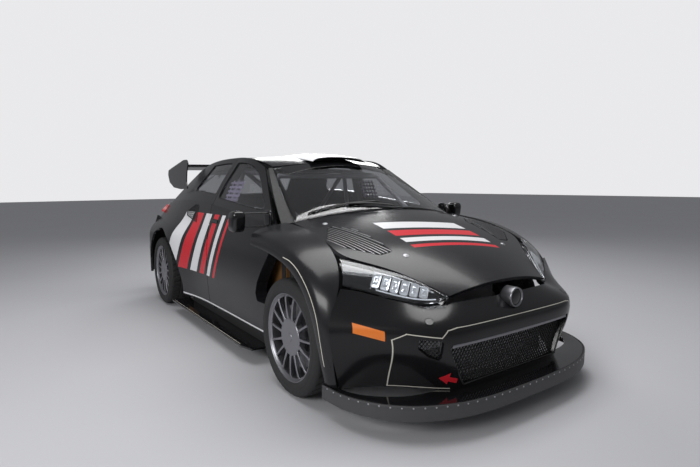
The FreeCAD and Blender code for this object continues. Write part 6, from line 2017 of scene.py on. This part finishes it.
    def strap(self, bundle: Bundle, skin: Skin, us: Array, vs: Array, lift: float) -> None:
        """A flat strap over the pads, along shares of the seat's skin."""
        outs = -skin.out(us, vs, self.net_middle(skin))
        spots = skin.at(us, vs) + outs * lift
        across = np.cross(np.gradient(spots, axis=0), outs)
        across *= self.strap_width / 2 / np.linalg.norm(across, axis=1, keepdims=True)
        rise = outs * self.strap_wall
        rows = [spots - across, spots + across, spots + across + rise, spots - across + rise]
        bundle.bar(np.stack(rows, axis=1), 0)


@dataclass
class Wheel:
    """One wheel: tyre, fifteen-spoke rim, hub face, brake disc.

    The profiles are (radius, along the axle), each counted from the part that its name gives.
    """

    axle: Axle
    side: Side
    tyre_half: float = 0.1175
    bead_gap: float = 0.001
    wall_from_bead: Pairs = ((0.0, 0.010), (0.006, 0.004), (0.014, 0.001), (0.020, 0.0),
                             (0.032, 0.0005), (0.034, 0.002))
    shoulder_from_tread: Pairs = ((0.032, 0.0025), (0.026, 0.003), (0.020, 0.006),
                                  (0.010, 0.012), (0.004, 0.019), (0.001, 0.028))
    bead_within: tuple[Spot, ...] = ((0.004, -1, -0.012), (0.006, 0, 0.0), (0.004, 1, 0.012))
    tread_edge: float = 0.034
    tread_rows: int = 33
    segments: int = 288
    groove_count: int = 36
    groove_slant: float = 6.0
    groove_share: float = 0.14
    groove_start: float = 0.028
    groove_depth: float = 0.006
    rib_place: float = 0.022
    rib_half: float = 0.0045
    rim_half: float = 0.107
    rim_wall: float = 0.006
    lip_radius: float = 0.246
    barrel_radius: float = 0.224
    hub_radius: float = 0.104
    face_sunk: float = 0.010
    disc_from_face: Pairs = ((0.178, 0.060), (0.178, 0.068), (0.170, 0.069), (0.170, 0.079),
                             (0.178, 0.080), (0.178, 0.088), (0.085, 0.088), (0.085, 0.060))
    spokes: int = 15
    spoke_middle: float = 0.165
    spoke_turn: float = 0.10
    spoke_halves: Row = (0.0115, 0.0085, 0.0068, 0.0072, 0.0105)
    spoke_sunk: Row = (0.004, 0.002, 0.0, 0.001, 0.004)
    spoke_depths: Row = (0.030, 0.028, 0.024, 0.022, 0.024)
    spoke_section: Pairs = ((-1, 0.003), (-0.72, 0.0), (0.72, 0.0), (1, 0.003))
    spoke_back: float = 0.7

    def __post_init__(self) -> None:
        """The wheel's place and the words of its names."""
        self.centre = (self.axle.x, self.side.sign * WHEEL_Y, TYRE_RADIUS)
        self.tail = self.axle.word + "_" + self.side.word
        self.body = "wheel_" + self.tail

    def build(self) -> None:
        """The wheel's pieces."""
        self.tyre()
        self.rim()
        self.disc()

    def turned(self, bundle: Bundle, profile: Array, segments: int, closed: bool) -> None:
        """Carry a profile round the axle, with its faces outwards on either side."""
        sign = self.side.sign
        bundle.grid(turned_profile(np.array(profile), segments, self.centre, sign), True, closed,
                    flip=sign > 0)

    def tyre_ring(self) -> Array:
        """The tyre's closed profile: outer wall, tread, inner wall and the bead's inside."""
        half, inner = self.tyre_half, self.lip_radius + self.bead_gap
        profile = np.array([(inner + out, half - back) for out, back in self.wall_from_bead]
                           + [(TYRE_RADIUS - down, half - back)
                              for down, back in self.shoulder_from_tread])
        edge = half - self.tread_edge
        crown = np.column_stack([np.full(self.tread_rows, TYRE_RADIUS),
                                 np.linspace(edge, -edge, self.tread_rows)])
        bead = np.array([(inner - down, side * half - along)
                         for down, side, along in self.bead_within])
        return np.concatenate([profile, crown, profile[::-1] * [1, -1], bead])

    def tyre(self) -> None:
        """A low tyre: slanting grooves and two round ones dip into the tread."""
        ring = self.tyre_ring()
        grid = turned_profile(ring, self.segments, (0, 0, 0))
        turn = np.linspace(0, 2 * np.pi, self.segments, endpoint=False)[:, None]
        off = np.abs(ring[None, :, 1])
        on_tread = (ring[None, :, 0] > TYRE_RADIUS - 0.0005) & (off < self.tyre_half - 0.030)
        phase = (turn * self.groove_count / (2 * np.pi) + off * self.groove_slant) % 1.0
        groove = (phase < self.groove_share) & (off > self.groove_start) & on_tread
        rib = (np.abs(off - self.rib_place) < self.rib_half) & on_tread
        dip = np.where(groove | rib, self.groove_depth, 0.0)
        grid[..., [0, 2]] *= (1 - dip / TYRE_RADIUS)[..., None]
        bundle = Bundle()
        bundle.grid(grid + np.array(self.centre), True, True, flip=True)
        made = bundle.make("tyre_" + self.tail + "_rubber")
        made.data.set_sharp_from_angle(angle=math.radians(32))
        settle(made, self.body, ["tyre_" + self.tail], (RUBBER,))

    def rim(self) -> None:
        """The rim: barrel, lip and hub turned, and its spokes."""
        half, lip, barrel, wall = self.rim_half, self.lip_radius, self.barrel_radius, self.rim_wall
        face = half - self.face_sunk
        bundle = Bundle()
        self.turned(bundle, [
            (lip, -half), (lip, -half + wall), (barrel + wall, -half + 0.024),
            (barrel + wall, half - 0.024), (lip - 0.001, half - wall), (lip, half - 0.003),
            (lip - 0.002, half), (lip - 0.006, half), (lip - 0.009, half - 0.003),
            (lip - 0.012, half - 0.010), (barrel + 0.001, half - 0.016), (barrel, half - 0.028),
            (barrel, -half + 0.012)], 120, True)
        self.turned(bundle, [
            (0.0, face), (0.022, face), (0.024, face - 0.003), (0.070, face - 0.003),
            (self.hub_radius - 0.004, face - 0.002), (self.hub_radius, face - 0.006),
            (self.hub_radius, face - 0.036), (0.082, face - 0.040),
            (0.082, face - 0.060), (0.0, face - 0.060)], 96, False)
        self.spoke_bars(bundle, face)
        made = bundle.make("rim_" + self.tail + "_cast")
        soften(made, 0.0012, 2, 35)
        settle(made, self.body, ["rim_" + self.tail], (RIM,))

    def disc(self) -> None:
        """The brake disc, two plates and the slot between them."""
        face = self.rim_half - self.face_sunk
        bundle = Bundle()
        self.turned(bundle, [(radius, face - back) for radius, back in self.disc_from_face], 96,
                    True)
        made = bundle.make("brake_disc_" + self.tail)
        made.data.set_sharp_from_angle(angle=math.radians(30))
        settle(made, self.body, (), (BRAKE,))

    def spoke_bars(self, bundle: Bundle, face: float) -> None:
        """Thin straight spokes: a tapered section carried from the hub to the barrel."""
        hub, tip, sign = self.hub_radius, self.barrel_radius, self.side.sign
        radii = (hub - 0.006, hub + 0.012, self.spoke_middle, tip - 0.010, tip + 0.003)
        shares = np.array([share for share, _ in self.spoke_section]
                          + [self.spoke_back, -self.spoke_back])
        for turn in np.arange(self.spokes) * 2 * np.pi / self.spokes + self.spoke_turn:
            rows = []
            for radius, half, sunk, depth in zip(radii, self.spoke_halves, self.spoke_sunk,
                                                 self.spoke_depths):
                front, across = face - sunk, shares * half
                along = np.array([front - back for _, back in self.spoke_section]
                                 + [front - depth] * 2)
                x = radius * np.cos(turn) - across * np.sin(turn)
                z = radius * np.sin(turn) + across * np.cos(turn)
                rows.append(np.stack([x, along * sign, z], axis=1) + np.array(self.centre))
            bundle.grid(np.array(rows), wrap_cols=True, flip=sign < 0)


@dataclass
class CarriedOver:
    """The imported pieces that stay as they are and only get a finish."""

    def build(self) -> None:
        """A finish for each."""
        finishes = {
            TRIM: ("body_shell", "floor_pan", "front_frame", "rear_frame", "rear_diffuser",
                   "dashboard"),
            STEEL: ("exhaust", "front_suspension", "rear_suspension", "steering_rack",
                    "knuckle_right", "knuckle_left"),
            ALLOY: ("radiator", "engine_block"),
            GLOSS: ("side_skirts", "rear_wing"),
            LINER: ("arch_liners",),
            SMOKED: ("headlamp_lenses",),
            LAMP_RED: ("tail_lamps",),
            CAGE: ("roll_cage",),
            CLOTH: ("steering_wheel",),
        }
        for finish, names in finishes.items():
            for name in names:
                paint(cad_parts[name], finish)


def aimed(made: bpy.types.Object, right: Array, up: Array, back: Array,
          place: Sequence[float]) -> None:
    """Place an object by its own three ways and put it in the scene."""
    turn = np.eye(4)
    turn[:3, 0], turn[:3, 1], turn[:3, 2], turn[:3, 3] = right, up, back, place
    made.matrix_world = Matrix(turn.tolist())
    bpy.context.scene.collection.objects.link(made)


@dataclass
class Studio:
    """A plain pale floor, soft lamps and the camera."""

    camera_place: Spot = (3.5150, -2.1130, 1.1603)
    yaw: float = 145.0516
    pitch: float = -5.8003
    roll: float = -0.4093
    lens: float = 25.107
    floor_half: float = 40.0
    lamps: tuple = (("lamp_over", (0.6, 0.0, 4.4), (0.2, 0, 0.4), (5.0, 2.4), 170.0),
                    ("lamp_side", (2.6, -5.0, 2.6), (0.4, -0.6, 0.5), (3.0, 1.4), 120.0),
                    ("lamp_rear", (-4.5, 3.0, 3.2), (-0.6, 0, 0.7), (3.0, 1.6), 90.0))
    world_light: Row = (0.80, 0.81, 0.84, 1)
    world_power: float = 0.30
    backdrop: Row = (0.86, 0.86, 0.88, 1)
    backdrop_power: float = 0.95

    def build(self) -> None:
        """The floor, the light and the camera."""
        self.floor()
        self.world()
        self.light()
        self.camera()

    def floor(self) -> None:
        """A large plain sheet."""
        corners = np.array([(-1, -1, 0), (1, -1, 0), (1, 1, 0), (-1, 1, 0)]) * self.floor_half
        made = mesh_object("studio_floor", corners, [[0, 1, 2, 3]])
        nodes = Nodes("studio_pale")
        nodes.join(nodes.mix(nodes.noise(0.6), (0.50, 0.50, 0.525, 1), (0.54, 0.54, 0.56, 1)),
                   nodes.shader.inputs["Base Color"])
        nodes.shader.inputs["Roughness"].default_value = 0.6
        made.data.materials.append(nodes.material)

    def world(self) -> None:
        """A pale world, brighter where the camera sees it than where it lights the car."""
        world = bpy.data.worlds.new("studio_world")
        world.use_nodes = True
        tree = world.node_tree
        ground = tree.nodes["Background"]
        bright = tree.nodes.new("ShaderNodeBackground")
        for node, colour, power in ((ground, self.world_light, self.world_power),
                                    (bright, self.backdrop, self.backdrop_power)):
            node.inputs["Color"].default_value = colour
            node.inputs["Strength"].default_value = power
        ray = tree.nodes.new("ShaderNodeLightPath")
        choose = tree.nodes.new("ShaderNodeMixShader")
        tree.links.new(ray.outputs["Is Camera Ray"], choose.inputs[0])
        tree.links.new(ground.outputs[0], choose.inputs[1])
        tree.links.new(bright.outputs[0], choose.inputs[2])
        tree.links.new(choose.outputs[0], tree.nodes["World Output"].inputs[0])
        bpy.context.scene.world = world

    def light(self) -> None:
        """Three soft area lamps, each turned to its target."""
        for name, place, target, size, power in self.lamps:
            lamp = bpy.data.lights.new(name, "AREA")
            lamp.shape = "RECTANGLE"
            lamp.size, lamp.size_y = size
            lamp.energy = power
            back = np.array(place) - np.array(target)
            back /= np.linalg.norm(back)
            right = np.cross([0, 0, 1.0], back)
            right /= np.linalg.norm(right)
            aimed(bpy.data.objects.new(name, lamp), right, np.cross(back, right), back, place)

    def camera(self) -> None:
        """The camera, aimed as in the photograph."""
        yaw, pitch, roll = (math.radians(a) for a in (self.yaw, self.pitch, self.roll))
        ahead = np.array([math.cos(pitch) * math.cos(yaw), math.cos(pitch) * math.sin(yaw),
                          math.sin(pitch)])
        right = np.cross(ahead, [0, 0, 1.0])
        right /= np.linalg.norm(right)
        up = np.cross(right, ahead)
        turned_right = math.cos(roll) * right + math.sin(roll) * up
        turned_up = -math.sin(roll) * right + math.cos(roll) * up
        data = bpy.data.cameras.new("camera")
        data.lens = self.lens
        data.sensor_width = 36.0
        data.clip_end = 200.0
        made = bpy.data.objects.new("camera", data)
        aimed(made, turned_right, turned_up, -ahead, self.camera_place)
        bpy.context.scene.camera = made


def main() -> None:
    """Build the car's dress and the studio."""
    logging.basicConfig(level=logging.INFO, format="%(message)s")
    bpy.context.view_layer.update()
    CarriedOver().build()
    BodySkins().build()
    Nose().build()
    Fittings().build()
    Cabin().build()
    for axle in Axle:
        for side in Side:
            Wheel(axle, side).build()
    Studio().build()
    bpy.context.scene.view_settings.view_transform = "Standard"


if __name__ == "__main__":
    main()
